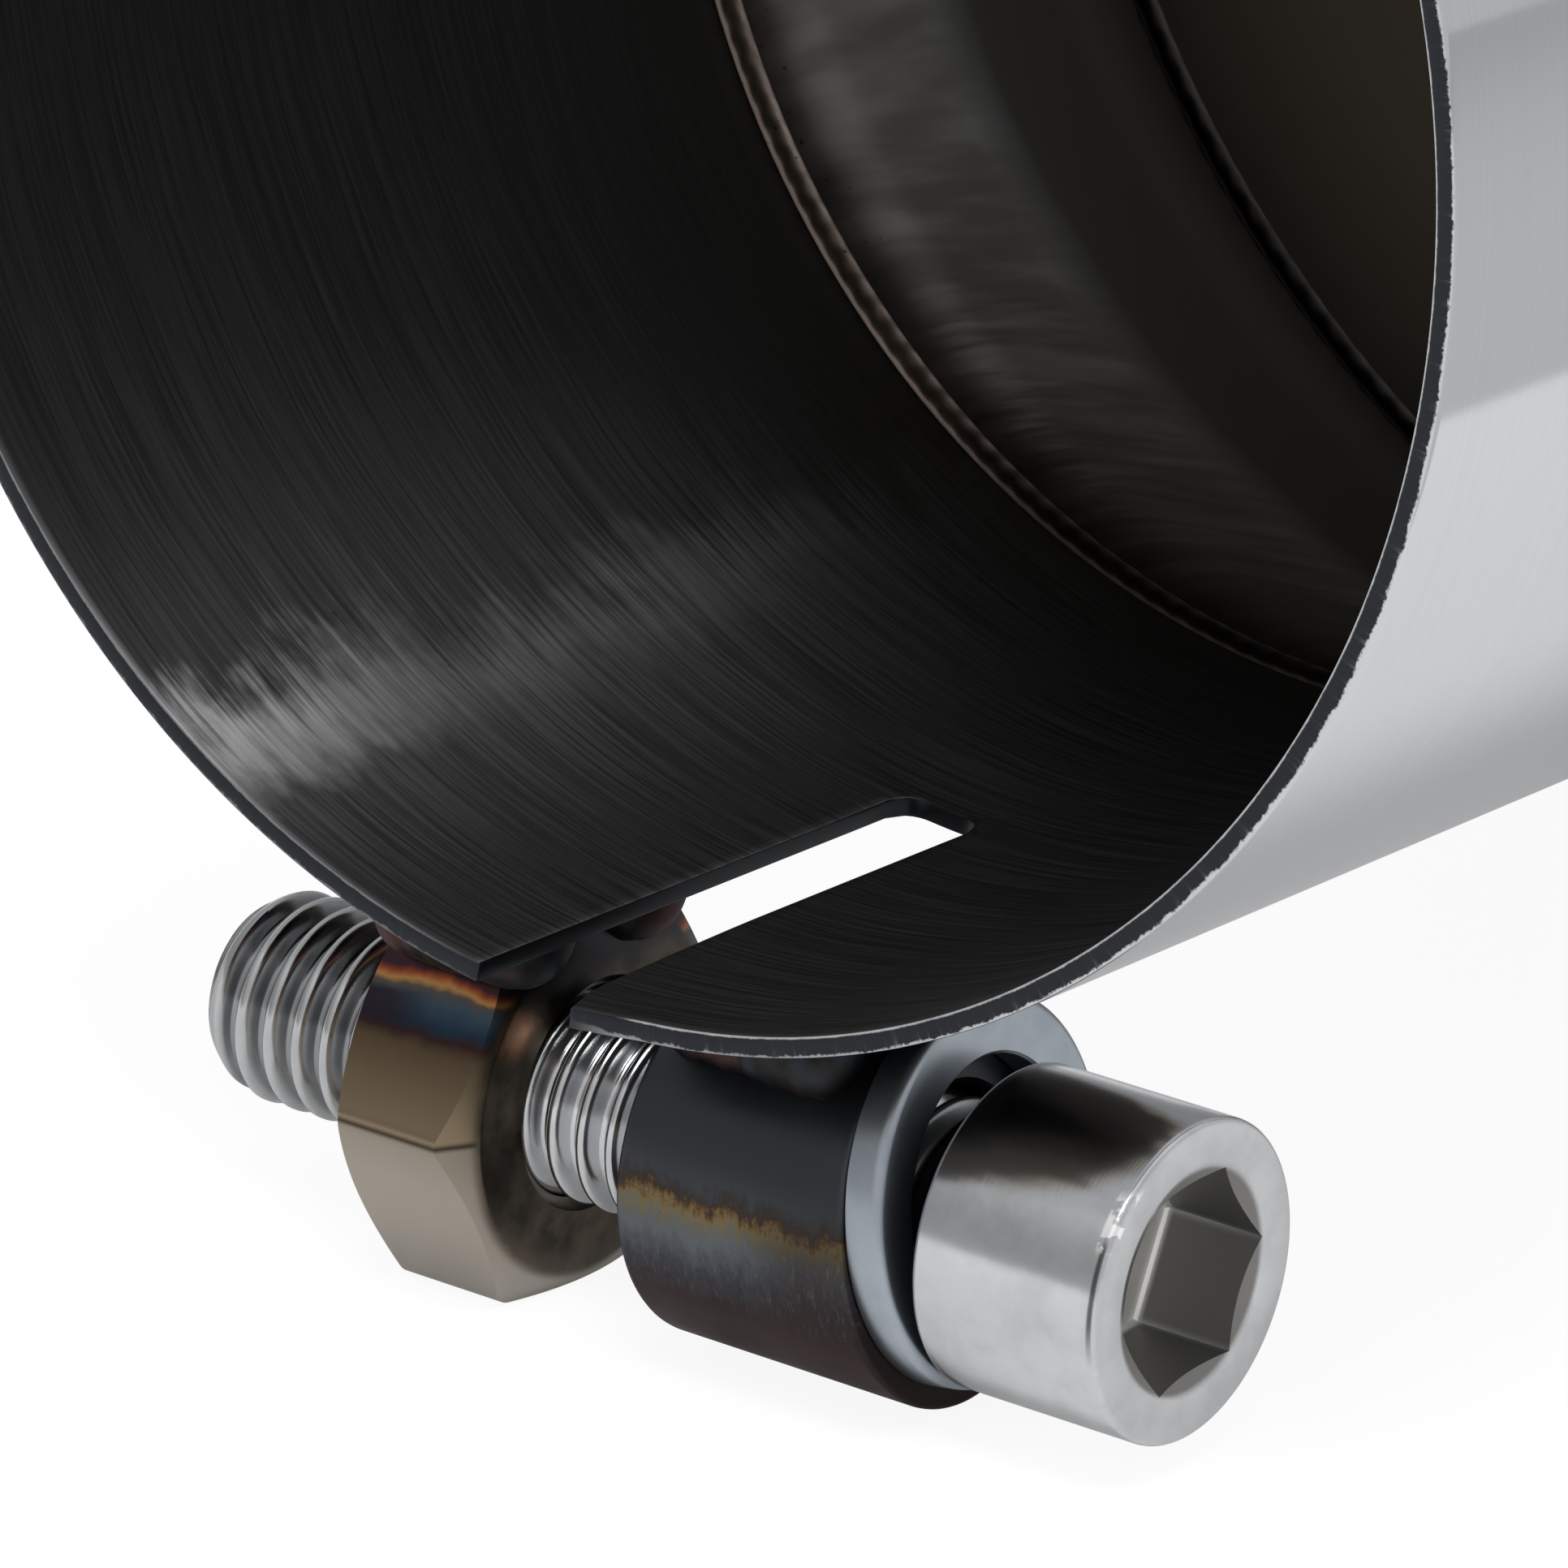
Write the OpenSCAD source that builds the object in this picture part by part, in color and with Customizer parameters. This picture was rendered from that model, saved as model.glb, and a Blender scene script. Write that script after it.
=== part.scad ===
// Clamp-on exhaust tip: a slotted inlet tube, a flare and a larger outlet,
// with a screw clamp welded across the slot. Millimetres, +Z up, the tube's
// axis along +Y, and the inlet rim at y = 0. The clamp hangs below.

/* [Tube work] */
// Outside diameter of the inlet tube
inlet_od = 84.6; // [80:0.1:90]
// Sheet thickness of inlet, flare and outlet
wall = 0.95; // [0.8:0.05:1.2]
// Distance from the inlet rim to the middle of the inlet weld
inlet_len = 55; // [48:0.5:70]
// Distance from the inlet weld to the outlet weld
flare_len = 47; // [35:0.5:70]
// Outside diameter of the outlet
outlet_od = 114.3; // [100:0.1:127]
// Overall length from rim to rim
overall_len = 230; // [180:1:300]
// Share of the flare's length that each knuckle bend takes
knuckle = 0.16; // [0.08:0.01:0.3]
// Break on the outer edge of the inlet rim
rim_break = 0.2; // [0.1:0.05:0.3]
// Outside radius of the rolled edge at the outlet
lip_r = 3.6; // [2.5:0.1:5]
// Straight hem behind the rolled edge
lip_hem = 2; // [1:0.5:5]

/* [Clamping slot] */
// Width of the slot
slot_w = 4.5; // [3:0.1:6]
// Length of the slot from the rim
slot_len = 29.2; // [24:0.1:40]
// Sideways place of the slot's middle
slot_x = -3.5; // [-5:0.1:-2]
// Corner radius at the slot's blind end
slot_corner_r = 1.3; // [0.5:0.1:1.4]

/* [Ring welds] */
// Width of each ring weld between the tube ends
ring_w = 1.8; // [1.2:0.1:2.4]
// Height of the ring welds over the sheet, inside
ring_in = 0.35; // [0.2:0.05:0.6]
// Height of the ring welds over the sheet, outside
ring_out = 0.45; // [0.2:0.05:0.6]

/* [Clamp axis] */
// Distance of the screw's axis from the inlet rim
axis_y = 11.8; // [11:0.1:16]
// Turn of the screw's axis about the vertical
axis_yaw = 1.4; // [0:0.1:4]
// Upward tilt of the screw's axis towards its head, negative when it drops
axis_lift = -0.2; // [-0.8:0.1:0.8]
// Gap between the sleeve and the tube where they come closest
seat_gap = 0.05; // [0.02:0.01:0.1]

/* [Screw] */
// Diameter of the screw over its thread
screw_d = 9.53; // [9:0.01:9.8]
// Place of the underside of the head along the axis
head_x = 13.85; // [13.5:0.05:18]
// Diameter of the head
head_d = 14.3; // [13.5:0.1:15]
// Height of the head
head_h = 9.5; // [8:0.1:11]
// Chamfer around the head's face
head_break = 0.35; // [0.1:0.05:0.6]
// Width across the flats of the hexagon socket
socket_af = 8.7; // [7:0.1:9]
// Diameter of the cone at the socket's mouth
socket_mouth_d = 10.3; // [10.2:0.1:11]
// Depth of the socket
socket_depth = 5; // [3:0.1:6]
// Angle of the socket's corners about the axis
socket_turn = 6.5; // [0:0.5:30]
// Length of the screw under the head
screw_len = 41; // [39:0.1:50]
// Length of the chamfer at the screw's end
tip_len = 1.8; // [1:0.1:2.5]
// Radius of the flat at the screw's end
tip_r = 3.9; // [3:0.1:4.2]

/* [Washer and sleeve] */
// Outside diameter of the washer
washer_d = 17; // [16:0.1:18]
// Diameter of the washer's hole
washer_hole_d = 11.8; // [11.8:0.1:12.4]
// Thickness of the washer
washer_t = 1.75; // [1.5:0.05:2]
// Rounding of the washer's edges
washer_round = 0.45; // [0.2:0.05:0.6]
// Lean of the washer, with its upper edge towards the sleeve
washer_lean = 8; // [2:0.5:9]
// Turn of the washer about the vertical
washer_turn = 2.5; // [0:0.5:4]
// Shift of the washer up and off the screw's axis
washer_shift = [0, 0.25, 0.83];
// Diameter of the sleeve
sleeve_d = 17.2; // [15:0.1:17.4]
// Diameter of the sleeve's hole
sleeve_hole_d = 10.4; // [10.2:0.1:11]
// Place of the sleeve's end beside the slot
sleeve_x = -0.8; // [-1.2:0.1:1]
// Break on the edges of the sleeve
sleeve_break = 0.45; // [0.2:0.05:0.8]

/* [Nut] */
// Width of the nut across its flats
nut_af = 17.46; // [16:0.01:17.6]
// Thickness of the nut
nut_t = 7.5; // [6:0.1:9]
// Place of the nut's end beside the slot
nut_x = -8.4; // [-10:0.05:-8]
// Diameter of the flat ring on the nut's ends
nut_face_d = 16.8; // [15:0.1:17.4]
// Clearance between screw and nut where the threads engage
thread_gap = 0.035; // [0.02:0.005:0.08]

/* [Clamp welds] */
// Radius of the weld beads
bead_r = 2.1; // [1.6:0.1:2.6]
// Distance between the ripples of a bead
bead_step = 1.7; // [1.2:0.1:2]

/* [Hidden] */
tube_fn = 144;
part_fn = 64;
bead_fn = 20;
eps = 0.01;

inlet_r = inlet_od / 2;
outlet_r = outlet_od / 2;
outlet_weld_y = inlet_len + flare_len;
thread_r = screw_d / 2;
head_r = head_d / 2;
sleeve_r = sleeve_d / 2;
washer_r = washer_d / 2;
nut_corner_r = nut_af / sqrt(3);
axis_z = -(inlet_r + seat_gap + max(sleeve_r, nut_af / 2 - 0.3));

// The washer's whole lean, and the room it then needs under the head
lean = acos(cos(washer_lean) * cos(washer_turn));
contact_gap = 0.03;
wedge_gap = washer_t / cos(lean) + head_r * tan(lean) + contact_gap;
wedge_x = head_x - wedge_gap;

// A profile of (radius, distance from the rim) turned about the tube's axis
module turned() {
    rotate([-90, 0, 0])
        rotate_extrude($fn = tube_fn)
            children();
}

// Puts a piece drawn along +X onto the screw's axis
module on_axis() {
    translate([0, axis_y, axis_z])
        rotate([0, -axis_lift, axis_yaw])
            children();
}

// A round bar along +X from one place to another
module bar_x(r, x0, x1, fn = part_fn) {
    translate([x0, 0, 0])
        rotate([0, 90, 0])
            cylinder(r = r, h = x1 - x0, $fn = fn);
}

// A profile of (radius, place along the axis) turned about +X
module turned_x() {
    rotate([0, 90, 0])
        rotate_extrude($fn = part_fn)
            children();
}

// The flare's rise from 0 to 1, straight between two soft knuckles
function rise(t, k) =
    t < k ? t * t / (2 * k * (1 - k)) :
    t > 1 - k ? 1 - (1 - t) * (1 - t) / (2 * k * (1 - k)) :
    (t - k / 2) / (1 - k);

function flare_steps(k, n) = concat(
    [for (i = [0:n]) k * i / n],
    [for (i = [n:-1:0]) 1 - k * i / n]);

// Ring weld: fills the space between two sheet ends and stands a little proud
module ring_weld(r_in, y) {
    turned()
        polygon([
            [r_in, y - ring_w / 2],
            [r_in - ring_in * 0.75, y - ring_w * 0.3],
            [r_in - ring_in, y],
            [r_in - ring_in * 0.75, y + ring_w * 0.3],
            [r_in, y + ring_w / 2],
            [r_in + wall, y + ring_w / 2],
            [r_in + wall + ring_out * 0.75, y + ring_w * 0.3],
            [r_in + wall + ring_out, y],
            [r_in + wall + ring_out * 0.75, y - ring_w * 0.3],
            [r_in + wall, y - ring_w / 2]]);
}

// Slotted inlet tube that slides over the tail pipe
module inlet_tube() {
    r_in = inlet_r - wall;
    y_end = inlet_len - ring_w / 2;
    color("silver")
        difference() {
            turned()
                polygon([
                    [r_in, 0],
                    [inlet_r - rim_break, 0],
                    [inlet_r, rim_break],
                    [inlet_r, y_end],
                    [r_in, y_end]]);
            translate([slot_x, 0, -inlet_r - 1])
                linear_extrude(height = wall + 3)
                    slot_outline();
        }
}

// The slot seen from below, open at the rim and round-cornered inside
module slot_outline() {
    mouth = 2;
    translate([-slot_w / 2, -mouth])
        square([slot_w, mouth + slot_len - slot_corner_r]);
    hull()
        for (side = [-1, 1])
            translate([side * (slot_w / 2 - slot_corner_r), slot_len - slot_corner_r])
                circle(r = slot_corner_r, $fn = 32);
}

module inlet_weld() {
    color("rosybrown")
        ring_weld(inlet_r - wall, inlet_len);
}

// Flare from the inlet to the outlet, one sheet thickness all the way
module transition_cone() {
    y0 = inlet_len + ring_w / 2;
    y1 = outlet_weld_y - ring_w / 2;
    steps = flare_steps(knuckle, 4);
    function at(t, r_a, r_b) = [r_a + (r_b - r_a) * rise(t, knuckle), y0 + (y1 - y0) * t];
    color("dimgray")
        turned()
            polygon(concat(
                [for (t = steps) at(t, inlet_r, outlet_r)],
                [for (i = [len(steps) - 1:-1:0])
                    at(steps[i], inlet_r - wall, outlet_r - wall)]));
}

module outlet_weld() {
    color("gray")
        ring_weld(outlet_r - wall, outlet_weld_y);
}

// Straight outlet whose end is rolled inward
module outlet_shell() {
    y0 = outlet_weld_y + ring_w / 2;
    yc = overall_len - lip_r;
    rc = outlet_r - lip_r;
    arc = [for (a = [0:20:180]) a];
    color("gainsboro")
        turned()
            polygon(concat(
                [[outlet_r, y0]],
                [for (a = arc) [rc + lip_r * cos(a), yc + lip_r * sin(a)]],
                [[rc - lip_r, yc - lip_hem], [rc - lip_r + wall, yc - lip_hem]],
                [for (i = [len(arc) - 1:-1:0])
                    [rc + (lip_r - wall) * cos(arc[i]), yc + (lip_r - wall) * sin(arc[i])]],
                [[outlet_r - wall, y0]]));
}

// Cutter for all that lies beyond the sleeve's leaning end
module beyond_wedge() {
    size = 4 * sleeve_r;
    translate([wedge_x, 0, 0])
        rotate([0, -washer_lean, washer_turn])
            translate([0, -size / 2, -size / 2])
                cube(size);
}

// Spacer sleeve on the right flap, cut at an angle under the washer
module clamp_sleeve() {
    x1 = wedge_x + 2 * sleeve_r * tan(lean);
    color("slategray")
        on_axis()
            difference() {
                turned_x()
                    polygon([
                        [sleeve_hole_d / 2, sleeve_x],
                        [sleeve_r - sleeve_break, sleeve_x],
                        [sleeve_r, sleeve_x + sleeve_break],
                        [sleeve_r, x1],
                        [sleeve_hole_d / 2, x1]]);
                beyond_wedge();
            }
}

// Body of the nut without its hole, grown on request for cutting the weld
module nut_body() {
    cham = (nut_corner_r - nut_face_d / 2) * tan(30);
    intersection() {
        bar_x(nut_corner_r, nut_x - nut_t, nut_x, 6);
        turned_x()
            polygon([
                [0, nut_x - nut_t],
                [nut_face_d / 2, nut_x - nut_t],
                [nut_corner_r + eps, nut_x - nut_t + cham],
                [nut_corner_r + eps, nut_x - cham],
                [nut_face_d / 2, nut_x],
                [0, nut_x]]);
    }
}

// Hexagon nut on the left flap, two flats level with the tube
module clamp_nut() {
    color("tan")
        on_axis()
            difference() {
                rotate([90, 0, 0])
                    nut_body();
                bar_x(thread_r + thread_gap, nut_x - nut_t - 1, nut_x + 1);
            }
}

// One rippled bead along the axis, at a side distance and a height
module bead(x0, x1, y, z, r) {
    n = max(1, round((x1 - x0) / bead_step));
    for (i = [0:n])
        translate([x0 + (x1 - x0) * i / n, y, z])
            sphere(r = r * (1 + 0.06 * sin(i * 137)), $fn = bead_fn);
}

// Everything inside the tube's outer surface, for cutting the welds to it
module tube_core() {
    translate([0, -1, 0])
        rotate([-90, 0, 0])
            cylinder(r = inlet_r, h = inlet_len, $fn = tube_fn);
}

// Weld between the sleeve and the right flap, both sides and through the middle
module sleeve_weld() {
    x0 = slot_x + slot_w / 2 + 2;
    x1 = wedge_x - 2.5;
    side = sleeve_r * 0.6;
    color("darkslategray")
        difference() {
            on_axis() {
                for (s = [-1, 1])
                    bead(x0, x1, s * side, sleeve_r * 0.87, bead_r);
                translate([x0 - bead_r / 2, -side, sleeve_r * 0.6])
                    cube([x1 - x0 + bead_r, 2 * side, sleeve_r * 0.6]);
            }
            tube_core();
            on_axis()
                bar_x(sleeve_r, sleeve_x - 5, wedge_x + 5);
        }
}

// Weld between the nut and the left flap, both sides and through the middle
module nut_weld() {
    x0 = nut_x - nut_t + 1.2;
    x1 = nut_x - 1.2;
    side = nut_corner_r / 2;
    color("saddlebrown")
        difference() {
            on_axis() {
                for (s = [-1, 1])
                    bead(x0, x1, s * (side + 0.6), nut_af / 2 + 0.1, bead_r);
                translate([x0 - 0.4, -side, nut_af / 2 - 1])
                    cube([x1 - x0 + 0.8, 2 * side, 3.8]);
            }
            tube_core();
            on_axis()
                rotate([90, 0, 0])
                    nut_body();
        }
}

// Socket head cap screw; its fine thread is left plain here
module clamp_screw() {
    tip_x = head_x - screw_len;
    face_x = head_x + head_h;
    color("lightsteelblue")
        on_axis()
            difference() {
                turned_x()
                    polygon([
                        [0, tip_x],
                        [tip_r, tip_x],
                        [thread_r - 0.25, tip_x + tip_len * 0.65],
                        [thread_r, tip_x + tip_len],
                        [thread_r, head_x],
                        [head_r - head_break, head_x],
                        [head_r, head_x + head_break],
                        [head_r, face_x - head_break],
                        [head_r - head_break, face_x],
                        [0, face_x]]);
                rotate([socket_turn + 90, 0, 0])
                    bar_x(socket_af / sqrt(3), face_x - socket_depth, face_x + 1, 6);
                socket_mouth(face_x);
            }
}

// Shallow cone that eases the key into the socket
module socket_mouth(face_x) {
    r = socket_mouth_d / 2;
    turned_x()
        polygon([
            [0, face_x - r * 0.5],
            [r, face_x],
            [r + 1, face_x + 0.5],
            [0, face_x + 0.5]]);
}

// Flat washer that lies on the sleeve's leaning end
module flat_washer() {
    color("lightgray")
        on_axis()
            translate([wedge_x, 0, 0])
                rotate([0, -washer_lean, washer_turn])
                    translate(washer_shift)
                        turned_x()
                            washer_section();
}

module washer_section() {
    b = washer_round;
    hole_r = washer_hole_d / 2;
    polygon([
        [hole_r, 0.1],
        [hole_r + 0.1, 0],
        [washer_r - b, 0],
        [washer_r - b * 0.3, b * 0.3],
        [washer_r, b],
        [washer_r, washer_t - b],
        [washer_r - b * 0.3, washer_t - b * 0.3],
        [washer_r - b, washer_t],
        [hole_r + 0.1, washer_t],
        [hole_r, washer_t - 0.1]]);
}

inlet_tube();
inlet_weld();
transition_cone();
outlet_weld();
outlet_shell();
clamp_sleeve();
sleeve_weld();
clamp_nut();
nut_weld();
clamp_screw();
flat_washer();
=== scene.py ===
"""Dresses the clamp-on exhaust tip over its CAD frame and lights it for the camera.

The tube's axis runs along +Y from the inlet rim at y = 0, +Z is up, and the
screw clamp hangs below the tube with the screw's head towards +X. Sizes are
in millimetres here and become metres where a mesh is made.
"""

from __future__ import annotations

import functools
import logging
import math
from dataclasses import dataclass, field
from enum import Enum
from typing import Callable, Sequence

import bmesh
import bpy
from mathutils import Matrix, Vector, noise

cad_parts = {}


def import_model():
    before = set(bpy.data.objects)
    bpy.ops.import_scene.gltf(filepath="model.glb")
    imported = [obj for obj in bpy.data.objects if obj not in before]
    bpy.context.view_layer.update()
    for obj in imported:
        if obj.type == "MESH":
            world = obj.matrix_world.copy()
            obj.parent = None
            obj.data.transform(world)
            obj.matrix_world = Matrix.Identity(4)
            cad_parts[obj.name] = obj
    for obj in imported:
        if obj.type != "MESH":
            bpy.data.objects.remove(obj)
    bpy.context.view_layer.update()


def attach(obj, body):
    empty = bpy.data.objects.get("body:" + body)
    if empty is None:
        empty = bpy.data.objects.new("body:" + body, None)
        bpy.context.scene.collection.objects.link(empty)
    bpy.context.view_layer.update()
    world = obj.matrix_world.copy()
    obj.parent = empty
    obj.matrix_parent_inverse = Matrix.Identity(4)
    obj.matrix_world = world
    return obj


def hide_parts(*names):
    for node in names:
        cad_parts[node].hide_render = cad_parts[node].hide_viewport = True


LOG = logging.getLogger("exhaust_tip")

MM = 0.001
TURN = 2 * math.pi
MERGE = 1e-7
HARD_FROM = 32.0

Value = float | tuple | bpy.types.NodeSocket
Colour = tuple[float, float, float]
Span = tuple[float, float]
Stops = list[tuple[float, Colour]]
Ring = Callable[[float], tuple[float, float]]

SPOT_OUTPUTS = {
    "Along": "Float", "Radius": "Float", "Side": "Float", "Up": "Float",
    "Ring": "Vector", "Spoke": "Vector",
}


class Side(Enum):
    """Which skin of the inlet tube a face belongs to."""

    OUTER = 0
    INNER = 1
    CUT = 2


class Tint(Enum):
    """Named runs of colours over a surface."""

    NUT = "nut"
    SLEEVE = "sleeve"
    SEAM = "seam"
    RING = "ring"
    DEPTH = "depth"


TINT_STOPS: dict[Tint, Stops] = {
    Tint.NUT: [
        (0.0, (0.38, 0.35, 0.31)),
        (0.36, (0.35, 0.31, 0.26)),
        (0.485, (0.29, 0.25, 0.20)),
        (0.497, (0.035, 0.023, 0.015)),
        (0.510, (0.27, 0.210, 0.140)),
        (0.61, (0.19, 0.142, 0.088)),
        (0.69, (0.115, 0.082, 0.050)),
        (0.72, (0.045, 0.022, 0.022)),
        (0.745, (0.022, 0.045, 0.075)),
        (0.790, (0.060, 0.095, 0.125)),
        (0.812, (0.11, 0.09, 0.08)),
        (0.824, (0.50, 0.26, 0.09)),
        (0.838, (0.30, 0.065, 0.030)),
        (0.850, (0.055, 0.030, 0.035)),
    ],
    Tint.SLEEVE: [
        (0.0, (0.020, 0.015, 0.015)),
        (0.27, (0.030, 0.022, 0.022)),
        (0.36, (0.050, 0.055, 0.066)),
        (0.45, (0.115, 0.130, 0.145)),
        (0.485, (0.13, 0.13, 0.11)),
        (0.515, (0.18, 0.135, 0.065)),
        (0.535, (0.11, 0.068, 0.034)),
        (0.55, (0.045, 0.036, 0.032)),
        (0.60, (0.056, 0.062, 0.069)),
        (1.0, (0.062, 0.069, 0.078)),
    ],
    Tint.SEAM: [
        (0.0, (0.20, 0.155, 0.135)),
        (0.30, (0.44, 0.350, 0.300)),
        (0.60, (0.50, 0.400, 0.345)),
        (0.80, (0.30, 0.230, 0.200)),
        (1.0, (0.15, 0.110, 0.100)),
    ],
    Tint.RING: [
        (0.0, (0.012, 0.011, 0.011)),
        (0.40, (0.030, 0.026, 0.022)),
        (1.0, (0.026, 0.021, 0.016)),
    ],
    # the near-black stops deep inside the flare and outlet are painted shade
    Tint.DEPTH: [
        (0.0, (0.10, 0.075, 0.070)),
        (0.04, (0.15, 0.14, 0.135)),
        (0.33, (0.15, 0.15, 0.15)),
        (0.39, (0.060, 0.060, 0.062)),
        (0.43, (0.012, 0.011, 0.012)),
        (0.56, (0.008, 0.007, 0.008)),
        (0.70, (0.010, 0.009, 0.009)),
        (0.78, (0.018, 0.015, 0.012)),
        (0.90, (0.042, 0.034, 0.024)),
        (1.0, (0.052, 0.041, 0.029)),
    ],
}


@dataclass(frozen=True)
class ClampAxis:
    """The screw's axis: where it crosses x = 0, and how it leans."""

    y: float = 11.8
    z: float = -50.95
    yaw: float = 1.4
    lift: float = -0.2

    def matrix(self) -> Matrix:
        """Frame whose +X is the screw's axis, in millimetres."""
        turn = Matrix.Rotation(math.radians(self.yaw), 4, "Z")
        tip = Matrix.Rotation(math.radians(-self.lift), 4, "Y")
        return Matrix.Translation((0, self.y, self.z)) @ turn @ tip


AXIS = ClampAxis()
TUBE_FRAME = Matrix(((0, 0, 1, 0), (1, 0, 0, 0), (0, 1, 0, 0), (0, 0, 0, 1)))


@dataclass(frozen=True)
class Spot:
    """Where a point of a surface lies about an axis.

    Along, radius, side and up are in millimetres; ring is a vector for marks
    that run round the axis, and spoke is one for marks that run along it.
    """

    along: bpy.types.NodeSocket
    radius: bpy.types.NodeSocket
    side: bpy.types.NodeSocket
    up: bpy.types.NodeSocket
    ring: bpy.types.NodeSocket
    spoke: bpy.types.NodeSocket


class NodeSheet:
    """Adds and joins shader nodes with few words."""

    def __init__(self, tree: bpy.types.NodeTree) -> None:
        """Works on one node tree."""
        self.tree = tree

    def feed(self, socket: bpy.types.NodeSocket, value: Value) -> None:
        """Links a socket to another, or sets its value.

        Args:
            socket: The input to fill.
            value: An output socket, a number, a vector or a colour.
        """
        if isinstance(value, bpy.types.NodeSocket):
            self.tree.links.new(value, socket)
        elif isinstance(value, tuple) and socket.type == "RGBA" and len(value) == 3:
            socket.default_value = (*value, 1.0)
        else:
            socket.default_value = value

    def add(self, kind: str, inputs: dict | None = None, **settings: object) -> bpy.types.Node:
        """Adds a node.

        Args:
            kind: The node's type name without its common prefix.
            inputs: Input names or numbers and what feeds them.
            settings: Attributes to set before the inputs.

        Returns:
            The new node.
        """
        node = self.tree.nodes.new("ShaderNode" + kind)
        for name, value in settings.items():
            setattr(node, name, value)
        for name, value in (inputs or {}).items():
            self.feed(node.inputs[name], value)
        return node

    def math(self, op: str, a: Value, b: Value = 0.0) -> bpy.types.NodeSocket:
        """Arithmetic on one or two values."""
        return self.add("Math", {0: a, 1: b}, operation=op).outputs[0]

    def plus(self, *values: Value) -> bpy.types.NodeSocket:
        """Sum of the values."""
        return functools.reduce(lambda a, b: self.math("ADD", a, b), values)

    def times(self, *values: Value) -> bpy.types.NodeSocket:
        """Product of the values."""
        return functools.reduce(lambda a, b: self.math("MULTIPLY", a, b), values)

    def minus(self, a: Value, b: Value) -> bpy.types.NodeSocket:
        """First value less the second."""
        return self.math("SUBTRACT", a, b)

    def span(self, value: Value, low: float, high: float, soft: bool = True) -> bpy.types.NodeSocket:
        """Maps low..high onto 0..1, clamped.

        Args:
            value: What is mapped.
            low: The value that becomes 0.
            high: The value that becomes 1; it may be the smaller one.
            soft: Eases both ends.

        Returns:
            The mapped value.
        """
        kind = "SMOOTHSTEP" if soft else "LINEAR"
        if low > high:
            return self.minus(1.0, self.span(value, high, low, soft))
        node = self.add("MapRange", {0: value, 1: low, 2: high}, interpolation_type=kind, clamp=True)
        return node.outputs[0]

    def mix(self, factor: Value, a: Value, b: Value) -> bpy.types.NodeSocket:
        """Blends two colours."""
        node = self.add("Mix", data_type="RGBA")
        for index, value in ((0, factor), (6, a), (7, b)):
            self.feed(node.inputs[index], value)
        return node.outputs[2]

    def mix_value(self, factor: Value, a: Value, b: Value) -> bpy.types.NodeSocket:
        """Blends two numbers."""
        node = self.add("Mix", data_type="FLOAT")
        for index, value in ((0, factor), (2, a), (3, b)):
            self.feed(node.inputs[index], value)
        return node.outputs[0]

    def ramp(self, factor: Value, stops: Stops) -> bpy.types.NodeSocket:
        """Colours a value by a run of stops."""
        node = self.add("ValToRGB", {0: factor})
        ramp = node.color_ramp
        while len(ramp.elements) < len(stops):
            ramp.elements.new(1.0)
        for element, (place, colour) in zip(ramp.elements, stops):
            element.position = place
            element.color = (*colour, 1.0)
        return node.outputs[0]

    def noise(self, vector: Value, scale: float, detail: float = 4.0,
              rough: float = 0.55) -> bpy.types.NodeSocket:
        """Cloudy noise between 0 and 1."""
        values = {"Vector": vector, "Scale": scale, "Detail": detail, "Roughness": rough}
        return self.add("TexNoise", values).outputs[0]

    def sway(self, vector: Value, scale: float, detail: float = 4.0,
             rough: float = 0.55) -> bpy.types.NodeSocket:
        """The same noise, about 0."""
        return self.minus(self.noise(vector, scale, detail, rough), 0.5)

    def place(self, group: bpy.types.NodeTree, inputs: dict | None = None) -> bpy.types.Node:
        """Adds a shared node group with its own values."""
        node = self.tree.nodes.new("ShaderNodeGroup")
        node.node_tree = group
        for name, value in (inputs or {}).items():
            self.feed(node.inputs[name], value)
        return node

    def spot(self, group: bpy.types.NodeTree) -> Spot:
        """Adds a group that tells where a point lies about an axis."""
        node = self.place(group)
        return Spot(*(node.outputs[label] for label in SPOT_OUTPUTS))


def new_group(name: str, inputs: dict[str, tuple[str, Value]], outputs: dict[str, str]) -> tuple:
    """Starts a shared node group.

    Args:
        name: The group's name.
        inputs: Input names with their socket type and first value.
        outputs: Output names with their socket type.

    Returns:
        The group, its sheet, its input node and its output node.
    """
    group = bpy.data.node_groups.new(name, "ShaderNodeTree")
    for label, (kind, value) in inputs.items():
        socket = group.interface.new_socket(label, in_out="INPUT", socket_type="NodeSocket" + kind)
        if kind != "Vector":
            socket.default_value = (*value, 1.0) if kind == "Color" else value
    for label, kind in outputs.items():
        group.interface.new_socket(label, in_out="OUTPUT", socket_type="NodeSocket" + kind)
    sheet = NodeSheet(group)
    return group, sheet, group.nodes.new("NodeGroupInput"), group.nodes.new("NodeGroupOutput")


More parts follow.
